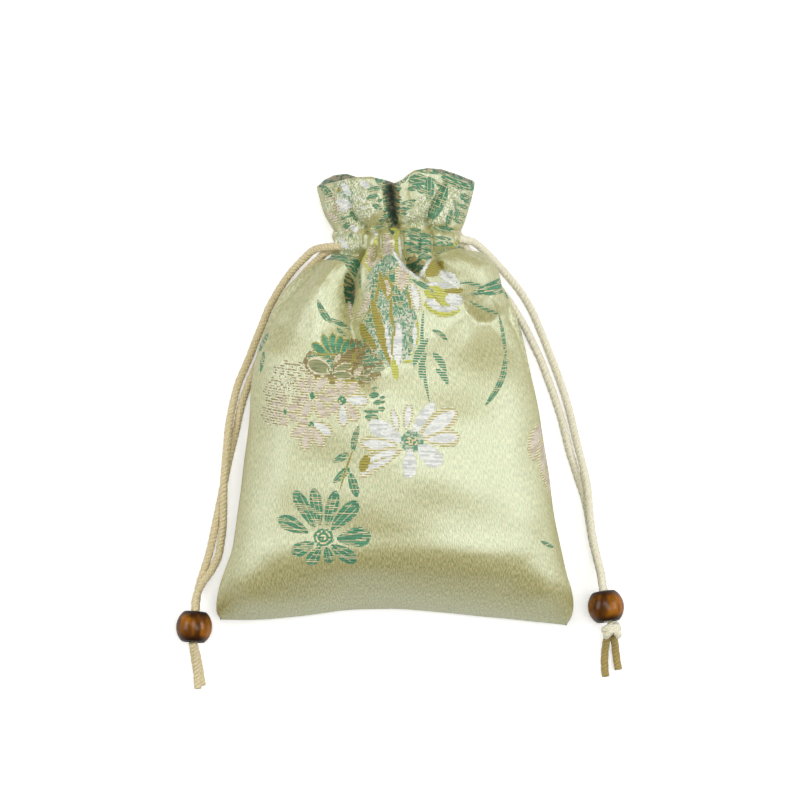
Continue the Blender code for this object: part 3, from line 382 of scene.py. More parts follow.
def through(knots, values, at):
    """Smooth curve through unevenly spaced values."""
    at = np.clip(at, knots[0], knots[-1])
    slopes = np.gradient(values, knots)
    i = np.clip(np.searchsorted(knots, at) - 1, 0, len(knots) - 2)
    width = knots[i + 1] - knots[i]
    t = (at - knots[i]) / width
    return (values[i] * (1 + 2 * t) * (1 - t) ** 2 + values[i + 1] * t * t * (3 - 2 * t)
            + slopes[i] * width * t * (1 - t) ** 2 - slopes[i + 1] * width * t * t * (1 - t))


def run_of(steps):
    """Length run at each point, from the lengths of the steps between them."""
    return np.concatenate(([0.0], np.cumsum(steps)))


def in_metres(points):
    """Points from tenths of a millimetre."""
    return [tuple(value / 10000.0 for value in point) for point in points]


def as_seen(points):
    """Where points of the cloth appear in the picture, in picture units."""
    x, y, z = points[..., 0], points[..., 1], points[..., 2]
    grow = (CAMERA_HEIGHT - PLANE_HEIGHT) / (CAMERA_HEIGHT - z)
    across = CAMERA_XY[0] + (x - CAMERA_XY[0]) * grow
    up = CAMERA_XY[1] + (y - CAMERA_XY[1]) * grow
    return PICTURE_ZERO[0] + across / UNIT_MM, PICTURE_ZERO[1] - up / UNIT_MM


# Mesh tools

def grid_mesh(points, face_notes):
    """A flat sheet of quads laid out with bmesh, then moved to its place. points is rows x columns
    x 3 in metres, and the last column meets the first one. face_notes is rows x columns."""
    rows, columns = points.shape[:2]
    mesh = bmesh.new()
    note = mesh.faces.layers.int.new("region")
    mesh.verts.layers.float_vector.new("flat")
    mesh.verts.layers.float_vector.new("cloth")
    bmesh.ops.create_grid(mesh, x_segments=columns, y_segments=rows - 1, size=1.0)
    spot = {}
    for vert in mesh.verts:
        i = int(round((vert.co.y + 1.0) * 0.5 * (rows - 1)))
        j = int(round((vert.co.x + 1.0) * 0.5 * columns))
        spot[(i, j)] = vert
    for face in mesh.faces:
        centre = face.calc_center_median()
        i = min(int((centre.y + 1.0) * 0.5 * (rows - 1)), rows - 2)
        j = min(int((centre.x + 1.0) * 0.5 * columns), columns - 1)
        face[note] = int(face_notes[i, j])
    for (i, j), vert in spot.items():
        vert.co = points[i, j % columns]
    bmesh.ops.weld_verts(mesh, targetmap={spot[(i, columns)]: spot[(i, 0)] for i in range(rows)})
    return mesh, spot


def finish_mesh(name, mesh, material, smooth=True):
    """Turns a bmesh into a piece of the scene with its material."""
    bmesh.ops.recalc_face_normals(mesh, faces=mesh.faces)
    data = bpy.data.meshes.new(name)
    mesh.to_mesh(data)
    mesh.free()
    if smooth:
        data.shade_smooth()
    item = bpy.data.objects.new(name, data)
    bpy.context.scene.collection.objects.link(item)
    item.data.materials.append(material)
    return item


def frames_along(path):
    """Side and up vectors carried along a path without twist."""
    along = np.gradient(path, axis=0)
    along /= np.linalg.norm(along, axis=1)[:, None]
    side = np.cross(along[0], (0.0, 0.0, 1.0))
    if np.linalg.norm(side) < 0.1:
        side = np.cross(along[0], (1.0, 0.0, 0.0))
    sides = []
    for direction in along:
        side = side - direction * np.dot(side, direction)
        side = side / np.linalg.norm(side)
        sides.append(side)
    sides = np.array(sides)
    return sides, np.cross(along, sides)


def resample(path, step):
    """A smooth path through the points, in even steps, with the length run at each point."""
    path = np.asarray(path, float)
    run = run_of(np.linalg.norm(np.diff(path, axis=0), axis=1))
    fine = np.linspace(0.0, run[-1], CURVE_SAMPLES)
    curve = np.column_stack([through(run, path[:, k], fine) for k in range(3)])
    length = run_of(np.linalg.norm(np.diff(curve, axis=0), axis=1))
    even = np.linspace(0.0, length[-1], max(int(round(length[-1] / step)), 8) + 1)
    return np.column_stack([np.interp(even, length, curve[:, k]) for k in range(3)]), even


def twisted_cord(name, path, diameter, material, lay_length, step, around, closed=False):
    """A cord of twisted plies: a tube whose outline is the plies' own, turning along the cord."""
    points, run = resample(path, step)
    if closed:
        points, run = points[:-1], run[:-1]
    sides, ups = frames_along(points)
    turn = np.zeros(len(points))
    if closed:
        twist = math.atan2(np.dot(ups[0], sides[-1]), np.dot(sides[0], sides[-1]))
        turn = -twist * np.arange(len(points)) / len(points)
    angle = np.arange(around) * 2.0 * math.pi / around
    rings = []
    for k in range(len(points)):
        outline = np.abs(np.cos(0.5 * PLIES * (angle - FULL_TURN * run[k] / lay_length)))
        radius = 0.5 * diameter * (PLY_GROOVE + PLY_BACK * outline ** PLY_POWER)
        cos, sin = np.cos(angle + turn[k]), np.sin(angle + turn[k])
        rings.append(points[k] + radius[:, None] * (cos[:, None] * sides[k] + sin[:, None] * ups[k]))
    rings = np.array(rings + rings[:1] if closed else rings)
    mesh, spot = grid_mesh(rings, np.zeros((len(rings), around)))
    if closed:
        last = len(rings) - 1
        bmesh.ops.weld_verts(mesh, targetmap={spot[(last, j)]: spot[(0, j)] for j in range(around)})
    else:
        bmesh.ops.holes_fill(mesh, edges=[e for e in mesh.edges if e.is_boundary], sides=0)
    item = finish_mesh(name, mesh, material)
    tag_cord(item.data, points, sides, ups, run)
    return item, points


def tag_cord(data, points, sides, ups, run):
    """Stores on each vertex the place along the cord and round it, for the thread pattern."""
    count, block = len(data.vertices), 2000
    co = np.empty(count * 3)
    data.vertices.foreach_get("co", co)
    co = co.reshape(-1, 3)
    near = np.empty(count, int)
    for low in range(0, count, block):
        part = co[low:low + block]
        near[low:low + block] = np.argmin(((part[:, None, :] - points[None, :, :]) ** 2).sum(axis=2), axis=1)
    away = co - points[near]
    around = np.arctan2((away * ups[near]).sum(axis=1), (away * sides[near]).sum(axis=1))
    store(data, "thread", "POINT", np.cos(around), np.sin(around), run[near])


def store(data, name, domain, a, b, c):
    """Keeps three numbers on each vertex or corner, for the shader."""
    layer = data.attributes.new(name, "FLOAT_VECTOR", domain)
    layer.data.foreach_set("vector", np.column_stack((a, b, c)).astype(np.float32).ravel())


# Shader tools

def sums(operation, swapped=False):
    """A method that adds one Math node, with its values in the other order for a reflected form."""
    def method(self, *others):
        values = (self,) + others
        return node(self.tree, "ShaderNodeMath", {"operation": operation}, values[::-1] if swapped else values)
    return method


class Sock:
    """A node socket that takes part in Python sums. Each sum adds its Math node."""

    def __init__(self, tree, link):
        self.tree = tree
        self.link = link

    __add__, __radd__ = sums("ADD"), sums("ADD", True)
    __sub__, __rsub__ = sums("SUBTRACT"), sums("SUBTRACT", True)
    __mul__, __rmul__ = sums("MULTIPLY"), sums("MULTIPLY", True)
    __truediv__, __rtruediv__ = sums("DIVIDE"), sums("DIVIDE", True)
    __pow__, __abs__ = sums("POWER"), sums("ABSOLUTE")
    __gt__, __lt__ = sums("GREATER_THAN"), sums("LESS_THAN")
    least, most = sums("MINIMUM"), sums("MAXIMUM")
    floor, fract, sine, root = sums("FLOOR"), sums("FRACT"), sums("SINE"), sums("SQRT")
    angle_over = sums("ARCTAN2")

    def equals(self, number):
        return node(self.tree, "ShaderNodeMath", {"operation": "COMPARE"}, (self, number, 0.3))

    def between(self, low, high):
        """0 at low and below, 1 at high and above, smooth in between."""
        return node(self.tree, "ShaderNodeMapRange", {"interpolation_type": "SMOOTHSTEP", "clamp": True},
                    {"Value": self, "From Min": low, "From Max": high, "To Min": 0.0, "To Max": 1.0})


def node(tree, kind, settings, values, output=0):
    """One node: its settings first, then the values or links of its sockets."""
    made = tree.nodes.new(kind)
    for key, value in settings.items():
        if key == "stops":
            ramp = made.color_ramp
            ramp.interpolation = "CONSTANT"
            while len(ramp.elements) > 1:
                ramp.elements.remove(ramp.elements[-1])
            ramp.elements[0].position, ramp.elements[0].color = value[0]
            for position, colour in value[1:]:
                ramp.elements.new(position).color = colour
        else:
            setattr(made, key, value)
    for key, value in values.items() if isinstance(values, dict) else enumerate(values):
        if isinstance(value, Sock):
            tree.links.new(value.link, made.inputs[key])
        else:
            made.inputs[key].default_value = value
    return Sock(tree, made.outputs[output])


def opaque(colour):
    return colour if isinstance(colour, Sock) else tuple(colour) + (1.0,)


def blend(factor, first, second):
    """The first colour where the factor is 0, the second where it is 1."""
    values = {0: factor, 6: opaque(first), 7: opaque(second)}
    return node(factor.tree, "ShaderNodeMix", {"data_type": "RGBA"}, values, 2)


def pick(kind, colours):
    """The colour of a numbered kind, from a list."""
    count = float(len(colours))
    stops = [(max(k - 0.5, 0.0) / count, opaque(colour)) for k, colour in enumerate(colours)]
    return node(kind.tree, "ShaderNodeValToRGB", {"stops": stops}, {0: kind / count})


def vector(x, y, z):
    return node(x.tree, "ShaderNodeCombineXYZ", {}, (x, y, z))


def parts_of(value):
    """The three numbers of a vector."""
    split = value.tree.nodes.new("ShaderNodeSeparateXYZ")
    value.tree.links.new(value.link, split.inputs[0])
    return tuple(Sock(value.tree, split.outputs[k]) for k in range(3))


def attribute(tree, name):
    return node(tree, "ShaderNodeAttribute", {"attribute_name": name}, {}, "Vector")


def noise(where, scale, detail=2.0, roughness=0.5):
    values = {"Vector": where, "Scale": scale, "Detail": detail, "Roughness": roughness}
    return node(where.tree, "ShaderNodeTexNoise", {}, values, "Fac")


def random_cell(where):
    return node(where.tree, "ShaderNodeTexWhiteNoise", {"noise_dimensions": "3D"}, {"Vector": where}, "Value")


def camera_ray(tree):
    return Sock(tree, tree.nodes.new("ShaderNodeLightPath").outputs["Is Camera Ray"])


def new_material(name, fixed):
    """A material with its Principled shader's uniform values set on its sockets."""
    material = bpy.data.materials.new(name)
    material.use_nodes = True
    tree = material.node_tree
    shader = tree.nodes["Principled BSDF"]
    for key, value in fixed.items():
        shader.inputs[key].default_value = value
    return material, tree, shader


def feed(shader, **links):
    """Links the sockets whose values change over the surface."""
    names = {"base": "Base Color", "rough": "Roughness", "normal": "Normal"}
    for key, value in links.items():
        value.tree.links.new(value.link, shader.inputs[names[key]])


def join_shaders(tree, kind, inputs):
    """Joins two shaders in one node on the way to the material's surface."""
    both = tree.nodes.new(kind)
    for place, link in enumerate(inputs):
        tree.links.new(link, both.inputs[place])
    tree.links.new(both.outputs[0], tree.nodes["Material Output"].inputs[0])


def bump(height, distance, strength=1.0):
    values = {"Strength": strength, "Distance": distance, "Height": height}
    return node(height.tree, "ShaderNodeBump", {}, values)


# Materials

def motif_colour(kind, p, q, v, cell, dash, speck):
    """Colour of the petals and leaves, and where they cover the ground. p runs along a leaf and q across it,
    each from -1 to 1, and v runs up the cloth in millimetres."""
    stitch = (v / STITCH_ROW).fract()
    rough_edge = (cell - 0.5) * (0.26 - 0.14 * (kind < 0.5))
    outline = (1.0 - p * p).most(0.0) ** OUTLINE_POWER - abs(q)
    cover = (outline + rough_edge > 0.0) * (kind > -0.5)
    fill, hatch = (pick(kind, tones) for tones in zip(*KIND_TONES))
    threads = kind.equals(OLIVE) + kind.equals(LIME)
    lines = (stitch > 0.70) * threads
    specks = kind.equals(SPECK) * (speck > 0.58) + kind.equals(MOSS) * (speck > 0.52)
    spine = (abs(abs(q) - 0.36) < 0.05) * (kind < 0.5) * (p < 0.70)
    thin = ((v / DASH_ROW).fract() > 0.48).most(kind > 0.5)
    plain = (1.0 - threads) * (1.0 - kind.equals(STALK))
    dashes = (dash > 0.60) * thin * plain * (0.85 - 0.30 * (kind > 6.5))
    fill = blend(dashes.most(lines).most(specks).most(spine * 0.75), fill, hatch)
    # petals are edged with short rows of stitches, each dark with a light row below it
    stitched = (outline < 0.40) * (kind.equals(PINK) + kind.equals(WHITE))
    fill = blend(stitched * (stitch > 0.50), fill, (0.90, 0.84, 0.62))
    fill = blend(stitched * (stitch < 0.42), fill, OLIVE_TONE)
    fill = blend((outline < 0.26) * kind.equals(RINGED), fill, (0.84, 0.74, 0.54))
    fill = blend((outline < 0.26) * kind.equals(GILT), fill, OLIVE_TONE)
    # stalks are rows of threads with gaps between them
    return fill, cover * (1.0 - kind.equals(STALK) * (stitch > 0.62))


def heart_colour(heart, hp, hq, cell, speck):
    """Colour of the flowers' hearts, where they cover the petals, and the lines of the blooms drawn as
    rings of scales."""
    r = (hp * hp + hq * hq).root()
    turn = hq.angle_over(hp) / FULL_TURN
    rings = (r * 2.4).fract() - 0.5
    cover = (r < 0.93 + (cell - 0.5) * 0.3) * (heart > -0.5) * (heart < 1.5)
    tone = blend((abs(rings) < 0.22) * (speck > 0.35) * heart.equals(HEART), TEAL_TONE, CREAM_TONE)
    tone = blend(heart.equals(DOT) * (speck > 0.62), tone, CREAM_TONE)
    tier = (r * 3.6).floor()
    petal = abs((turn * 9.0 + tier * 0.5).fract() - 0.5) * 2.0
    edge = (r * 3.6).fract() - 1.0 + 0.5 * petal * petal
    line = ((abs(edge) < 0.24) + (petal > 0.84)).least(1.0)
    return tone, cover, line * (r < 1.0) * heart.equals(SCALES)


def brocade_material(look):
    """Satin ground with matt woven flowers."""
    material, tree, shader = new_material("brocade", {
        "IOR": look.shine, "Roughness": look.roughness, "Specular Tint": (0.80, 1.0, 0.90, 1.0), "Coat Weight": 0.25,
        "Coat IOR": 2.4, "Coat Roughness": look.roughness, "Sheen Weight": 0.18, "Sheen Roughness": 0.4,
        "Sheen Tint": (1.0, 0.92, 0.75, 1.0)})
    thread = tree.nodes.new("ShaderNodeBsdfPrincipled")
    for key, value in (("IOR", 1.6), ("Roughness", 0.55), ("Sheen Weight", 0.2), ("Sheen Roughness", 0.4)):
        thread.inputs[key].default_value = value
    u, v, inside = parts_of(attribute(tree, "weave"))
    p, q, kind = parts_of(attribute(tree, "leaf"))
    hp, hq, heart = parts_of(attribute(tree, "heart"))

    # threads: u and v are millimetres of cloth
    row = (v / THREAD_ROW).floor()
    cell = random_cell(vector(((u + row * 0.37) / 0.9).floor(), row, 1.0))
    dash_row = (v / DASH_ROW).floor()
    dash = random_cell(vector(((u + dash_row * 1.3) / 2.9).floor(), dash_row, 7.0))
    speck = random_cell(vector((u / 0.45).floor(), (v / 0.55).floor(), 3.0))
    grain = noise(vector(u / 0.30 + v * 0.12, v / 1.5, 0.0), 1.0, 3.0, 0.6)
    fine = noise(vector(u / 0.2, v / 0.8, 4.0), 1.0, 2.0, 0.6)
    cast = noise(vector(u / 0.5, v / 2.2, 17.0), 1.0)

    red, green, blue = look.ground
    low = (red * 0.66, green * 0.70, blue * 0.50)
    high = (min(red * 1.26, 1.0), min(green * 1.28, 1.0), blue * 1.7)
    ground = blend(grain.between(0.41, 0.59), low, high)
    ground = blend(cast.between(0.52, 0.66) * 0.55, ground, (0.58, 0.43, 0.17))

    fill, cover = motif_colour(kind, p, q, v, cell, dash, speck)
    tone, heart_cover, scales = heart_colour(heart, hp, hq, cell, speck)
    stitch = (v / STITCH_ROW).fract()
    colour = blend(cover, ground, fill)
    colour = blend(heart_cover, colour, tone)
    colour = blend(scales * (stitch > 0.50), colour, (0.86, 0.80, 0.60))
    colour = blend(scales * (stitch < 0.42) * (cell > 0.2), colour, (0.22, 0.18, 0.045))
    motif = cover.most(heart_cover).most(scales)
    gain = ((cell - 0.5) * (0.20 + 0.26 * (kind < 0.5)) + 1.0) * motif + (1.0 - motif)
    colour = node(tree, "ShaderNodeVectorMath", {"operation": "SCALE"}, {0: colour, 3: gain})
    # the reverse of the cloth, seen inside the mouth
    colour = blend(inside, colour, blend(dash > 0.5, (0.030, 0.130, 0.060), (0.42, 0.34, 0.22)))

    weft = (v / THREAD_ROW * math.pi).sine()
    height = grain * 0.5 + fine * 0.3 + motif * (0.5 + 0.25 * weft + 0.3 * cell)
    relief = bump(height, look.relief * MM)
    feed(shader, base=colour, rough=look.roughness + (fine - 0.5) * 0.12, normal=relief)
    feed(thread, base=colour, normal=relief)
    join_shaders(tree, "ShaderNodeMixShader", ((motif * 0.88).link, shader.outputs[0], thread.outputs[0]))
    return material


def satin_material(name, colour, shade, roughness):
    """Twisted satin cord. The thread attribute holds the cosine and sine round the cord, and metres along it."""
    material, tree, shader = new_material(name, {"Sheen Weight": 0.35, "Sheen Roughness": 0.35})
    c, s, run = parts_of(attribute(tree, "thread"))
    around = s.angle_over(c) / FULL_TURN
    threads = noise(vector(c * 1.6 + run * 120.0, s * 1.6, run * 900.0), 3.0, 2.0, 0.6)
    twill = ((around * 14.0 + run * 520.0) * FULL_TURN).sine()
    ply = ((around * float(PLIES) - run * 780.0) * FULL_TURN).sine()
    slow = noise(vector(c * 0.5, s * 0.5, run * 60.0), 1.0)
    tone = blend(threads.between(0.30, 0.66), shade, colour)
    tone = blend(slow.between(0.5, 0.75) * 0.5, tone, shade)
    # the grooves between the plies are given the shade tint: painted shade between the strands
    tone = blend(ply.between(0.2, 0.9) * 0.6, tone, shade)
    feed(shader, base=tone, rough=roughness + (threads - 0.5) * 0.2,
         normal=bump(twill * 0.5 + threads - ply * 0.8, 0.00012, 0.9))
    return material


def wood_material(look):
    """Dark and amber wood under a thin coat, darker towards the rims of the hole."""
    material, tree, shader = new_material("stained_bead_wood", {
        "Coat Roughness": 0.06, "Coat Weight": 0.16, "Specular IOR Level": 0.2})
    rim = parts_of(attribute(tree, "rim"))[0]
    x, y, z = parts_of(node(tree, "ShaderNodeTexCoord", {}, {}, "Object"))
    streak = noise(vector(x * 900.0, y * 160.0, z * 900.0), 1.0, 4.0, 0.6)
    ring = noise(vector(x * 260.0, y * 60.0, z * 260.0), 1.0)
    tone = blend(ring.between(0.35, 0.62), (0.080, 0.026, 0.003), (0.37, 0.130, 0.008))
    tone = blend(streak.between(0.48, 0.70) * 0.55, tone, (0.075, 0.020, 0.005))
    tone = blend(rim.between(0.45, 0.95), tone, (0.018, 0.006, 0.003))
    feed(shader, base=tone, rough=look.wood_roughness + streak * 0.12, normal=bump(streak, 0.00004, 0.5))
    return material


# The cloth

def cross_section(y, columns):
    """x and z round the pouch at one height: the front from left to right, then the back."""
    left, right, front, back, edge, tube = (through(SECTIONS[:, 0], SECTIONS[:, k], y) for k in range(1, 7))
    angle = np.linspace(math.pi, 0.0, 721)
    cos, sin = np.cos(angle), np.sin(angle)
    half = np.where(cos < 0.0, left, right)
    layers = []
    for height in (front - edge, edge - back):
        oval = (half - height) * np.tanh(NECK_FULLNESS * cos) / math.tanh(NECK_FULLNESS) + height * cos
        x = half * cos * (1.0 - tube) + oval * tube
        if layers:
            drop = height + REST_OVERSHOOT * (1.0 - tube) * ease(SEAM_Y, SEAM_Y + 10.0, y)
            z = np.maximum(edge - drop * sin ** (BACK_POWER + BACK_TUBE * tube), back)
        else:
            z = edge + height * sin ** (FRONT_POWER + FRONT_UPPER * ease(-40.0, -10.0, y) + FRONT_TUBE * tube)
        run = run_of(np.hypot(np.diff(x), np.diff(z)))
        even = np.linspace(0.0, run[-1], columns + 1)
        layers.append(np.column_stack((np.interp(even, run, x), np.interp(even, run, z))))
    return np.vstack((layers[0][:-1], layers[1][::-1][:-1]))


def crease_height(creases, px, py):
    """How far the creases sink the cloth, in millimetres, at points in picture units."""
    sink = np.zeros_like(px)
    for sharpness, crease, *spread in creases:
        line = np.array(crease, float)
        best, deep, wide = np.full_like(px, 1e9), np.zeros_like(px), np.ones_like(px)
        for a, b in zip(line, line[1:]):
            span = b[:2] - a[:2]
            t = np.clip(((px - a[0]) * span[0] + (py - a[1]) * span[1]) / span.dot(span), 0.0, 1.0)
            gap = np.hypot(px - a[0] - t * span[0], py - a[1] - t * span[1]) * UNIT_MM
            nearer = gap < best
            best = np.where(nearer, gap, best)
            deep = np.where(nearer, a[2] + (b[2] - a[2]) * t, deep)
            right = (px - a[0]) * span[1] < (py - a[1]) * span[0]
            width = (a[3] + (b[3] - a[3]) * t) * np.where(right, spread[0] if spread else 1.0, 1.0)
            wide = np.where(nearer, width, wide)
        sink += deep * np.exp(-(best / wide) ** sharpness)
    return sink


def smooth_cloth(rows_y, columns, place, front):
    """The cloth without its folds, cut to the header's wavy top edge."""
    across = 2.0 * place - 1.0
    base = np.zeros((len(rows_y), 2 * columns, 3))
    for i, y in enumerate(rows_y):
        ring = cross_section(y, columns)
        droop = np.where(across < 0.0, DROOP_LEFT, DROOP_RIGHT) * np.abs(across) ** 1.4
        base[i, :, 1] = y - droop * (1.0 - ease(SEAM_Y, SEAM_Y + 26.0, y))
        base[i, :, 0], base[i, :, 2] = ring[:, 0], ring[:, 1]
    above = np.clip((rows_y - CASING_TOP_Y) / (MOUTH_Y - CASING_TOP_Y), 0.0, 1.0)[:, None]
    px, py = as_seen(base[-1])
    edge_x, front_edge, back_edge = TOP_EDGE.T
    wanted = np.where(front, np.interp(px, edge_x, front_edge), np.interp(px, edge_x, back_edge))
    base[:, :, 1] += above * ((py - wanted) * UNIT_MM * HEADER_SCALE)[None, :]
    return base


def pleat_height(y, place, front, band, arch):
    """How far the gathers lift the cloth in the casing, below it and in the header, in millimetres."""
    side = np.where(front, 1.0, -1.0)
    below = ease(10.0, CASING_BOTTOM_Y - 4.0, y) * (1.0 - ease(CASING_BOTTOM_Y - 2.0, CASING_BOTTOM_Y, y))
    header = ease(CASING_TOP_Y - 0.6, CASING_TOP_Y + 2.5, y)
    phase = 0.35 * np.sin(9.0 * place + side) + 0.2 * np.sin(23.0 * place)
    wave = 0.5 + 0.5 * np.cos(FULL_TURN * (PLEATS * place + phase))
    fine = 0.5 + 0.5 * np.cos(FULL_TURN * (FINE_PLEATS * place + 0.6 * np.sin(17.0 * place + 2.0)))
    own = np.where(front, FRONT_PLEAT_SHARE, 1.0)
    lift = (band * (CASING_ARCH * arch + CASING_PLEAT * own * wave + CASING_FINE * fine)
            + below * (BELOW_PLEAT * own * wave + BELOW_FINE * fine))
    return lift + header * (HEADER_PLEAT * wave * own + HEADER_FINE * fine)


def cloth_surface(columns, rows_y):
    """The outer face of the pouch as a grid of points, with the smooth cloth it is lifted from, the
    direction and height of the lift, and each column's place across its layer."""
    share = np.arange(columns) / columns
    place = np.concatenate((share, 1.0 - share))
    front = np.arange(2 * columns) < columns
    base = smooth_cloth(rows_y, columns, place, front)
    px, py = as_seen(base)
    y = np.asarray(rows_y)[:, None]
    band = (ease(CASING_BOTTOM_Y - 1.2, CASING_BOTTOM_Y + 1.2, y)
            * (1.0 - ease(CASING_TOP_Y - 1.6, CASING_TOP_Y + 0.8, y)))
    arch = np.sin(math.pi * np.clip((y - CASING_BOTTOM_Y) / (CASING_TOP_Y - CASING_BOTTOM_Y), 0.0, 1.0))
    lift = pleat_height(y, place, front, band, arch)
    rng = np.random.default_rng(7)
    for size, amount in CRUMPLE:
        for ignored in range(5):
            turn, shift = rng.uniform(0.0, math.pi), rng.uniform(0.0, 6.3)
            lift = lift + amount * np.sin((px * math.cos(turn) + py * math.sin(turn)) / size * 2.0 + shift)
    seam = np.minimum(place, 1.0 - place)
    slit = np.exp(-(seam / SLIT_SHARE) ** 2) * np.exp(-((y - SLIT_Y) / SLIT_HALF_HEIGHT) ** 2) * SLIT_DEPTH
    sink = np.where(front, crease_height(FRONT_CREASES, px, py), crease_height(BACK_CREASES, px, py))
    lift = (lift - sink) * ease(0.0, 0.03, seam + 0.012) - slit
    # the back rests on the floor, so it is crumpled only where it is off it
    lift = lift * np.where(front, 1.0, ease(0.0, 1.5, base[:, :, 2]))

    normal = np.cross(np.roll(base, -1, axis=1) - np.roll(base, 1, axis=1), np.gradient(base, axis=0))
    normal /= np.maximum(np.linalg.norm(normal, axis=2), 1e-9)[:, :, None]
    outer = base + normal * lift[:, :, None]
    # the casing bulges a little over the shoulder
    middle = 0.5 * (CASING_BOTTOM_Y + CASING_TOP_Y)
    outer[:, :, 1] -= (band * arch * 0.5) * np.where(y < middle, 1.0, -0.4) * np.where(front, 1.0, 0.4)
    outer[:, :, 2] = np.maximum(outer[:, :, 2], FLOOR_CLEARANCE)
    # the casing's front lies over the cords inside it
    cover = ease(*COVER_LOW_Y, outer[:, :, 1]) * (1.0 - ease(*COVER_HIGH_Y, outer[:, :, 1]))
    over = np.interp(outer[:, :, 0], COVER_X, COVER_Z) + (COVER_GAP - NO_COVER * (1.0 - cover))
    outer[:, :, 2] = np.where(front, np.maximum(outer[:, :, 2], over), outer[:, :, 2])
    return base, normal, outer, lift, place


def narrow_low(values, across, along):
    """The lowest value within some columns and rows, so an inner wall clears every crease."""
    low = values.copy()
    for step in range(1, across + 1):
        low = np.minimum(low, np.minimum(np.roll(values, step, axis=1), np.roll(values, -step, axis=1)))
    lowest = low.copy()
    for step in range(1, along + 1):
        lowest[step:] = np.minimum(lowest[step:], low[:-step])
        lowest[:-step] = np.minimum(lowest[:-step], low[step:])
    return lowest


def make_pouch(look, material):
    """The pouch: one sheet from the bottom seam up the outside, over the lip and down the inside."""
    columns = look.columns
    rows_y = np.concatenate([np.linspace(*band) for band in ROW_BANDS])
    base, normal, outer, lift, place = cloth_surface(columns, rows_y)
    count = 2 * columns
    mirror = (count - np.arange(count)) % count
    seam_row = 0.5 * (outer[0] + outer[0][mirror])
    seam_row[:, 1] -= SEAM_DEPTH
    inner_rows = list(range(len(rows_y) - 1, 2, -INNER_ROW_STEP))
    low = narrow_low(lift, SEAM_CLEAR, 0)
    seam = np.minimum(place, 1.0 - place)
    low += (narrow_low(lift, INNER_CLEAR, INNER_ROW_STEP) - low) * ease(0.04, 0.09, seam)
    inner = (base + normal * (low - look.cloth_thickness)[:, :, None])[inner_rows]
    # the header is a doubled cloth with a rolled edge
    lip = 0.5 * (outer[-1] + inner[0])
    lip[:, 1] += LIP_HEIGHT
    closing = 0.5 * (inner[-1] + inner[-1][mirror])
    points = np.concatenate((seam_row[None], outer, lip[None], inner, closing[None]))
    # faces are noted as 0 on the front, 1 on the back and 2 inside
    notes = np.zeros((len(points) - 1, count))
    notes[:, columns:] = 1
    notes[len(rows_y) + 1:, :] = 2
    mesh, spot = grid_mesh(points * MM, notes)
    last = len(points) - 1
    weld = {spot[(row, k)]: spot[(row, count - k)] for row in (0, last) for k in range(1, columns)}
    # a point's place on the flat cloth, kept while its corners are worked out
    flat, cloth = (mesh.verts.layers.float_vector[name] for name in ("flat", "cloth"))
    steps = np.linalg.norm(np.diff(base, axis=0), axis=2)
    run = np.concatenate((np.zeros((1, count)), np.cumsum(steps, axis=0)))
    px, py = as_seen(base)
    index = [0] + list(range(len(rows_y))) + [len(rows_y) - 1] + inner_rows + [inner_rows[-1]]
    for (i, j), vert in spot.items():
        if vert.is_valid:
            k = j % count
            vert[flat] = (px[index[i], k], py[index[i], k], 0.0)
            vert[cloth] = (place[k], run[index[i], k], 0.0)
    bmesh.ops.weld_verts(mesh, targetmap=weld)
    item = finish_mesh("pouch_cloth", mesh, material)
    tag_cloth(item.data, look.layer_width)
    return item


def read(items, name, kind, shape):
    """Numbers of a mesh as one array."""
    values = np.empty(len(items) * shape, kind)
    items.foreach_get(name, values)
    return values.reshape(-1, shape) if shape > 1 else values


def tag_cloth(data, layer_width):
    """Gives every corner of the cloth its thread place, and its place on the motif it belongs to."""
    corners, faces = len(data.loops), len(data.polygons)
    vertex = read(data.loops, "vertex_index", int, 1)
    total = read(data.polygons, "loop_total", int, 1)
    region = read(data.attributes["region"].data, "value", int, 1)
    flat, cloth = (read(data.attributes[name].data, "vector", float, 3) for name in ("flat", "cloth"))
    face_of = np.repeat(np.arange(faces), total)
    back = region[face_of] == 1
    u = np.where(back, 1.5 - cloth[vertex, 0], cloth[vertex, 0] - 0.5) * layer_width
    store(data, "weave", "CORNER", u, cloth[vertex, 1], region[face_of] == 2)
    # the back repeats the front's motifs, turned over and a little further along
    x = np.where(back, 2.0 * PICTURE_ZERO[0] - flat[vertex, 0] + 40.0, flat[vertex, 0])
    y = np.where(back, flat[vertex, 1] + 20.0, flat[vertex, 1])
    centre_x = np.bincount(face_of, x, faces) / total
    centre_y = np.bincount(face_of, y, faces) / total
    shown = region != 2

    leaves = [leaf + (0,) * (7 - len(leaf)) + (kind,) for kind, *group in MOTIFS for leaf in group]
    chosen = np.full(faces, -1)
    inside = np.zeros(faces, bool)
    for number, leaf in enumerate(leaves):
        p, q = leaf_place(leaf, centre_x, centre_y)
        over = (1.0 - p * p).clip(0.0) ** OUTLINE_POWER - np.abs(q)
        within = (over > 0.0) & (np.abs(p) < 1.0)
        half = 0.5 * math.hypot(leaf[2] - leaf[0], leaf[3] - leaf[1])
        near = (over > -3.0 / leaf[4]) & (np.abs(p) < 1.0 + 1.6 / half)
        chosen[shown & (within | (near & ~inside))] = number
        inside |= within & shown
    tag_motifs(data, "leaf", leaves, chosen[face_of], x, y, leaf_place)

    chosen = np.full(faces, -1)
    for number, heart in enumerate(HEARTS):
        reach = np.hypot(*heart_place(heart, centre_x, centre_y))
        chosen[shown & (reach < 1.0 + 1.5 / heart[2])] = number
    tag_motifs(data, "heart", HEARTS, chosen[face_of], x, y, heart_place)
    for name in ("flat", "cloth", "region"):
        data.attributes.remove(data.attributes[name])


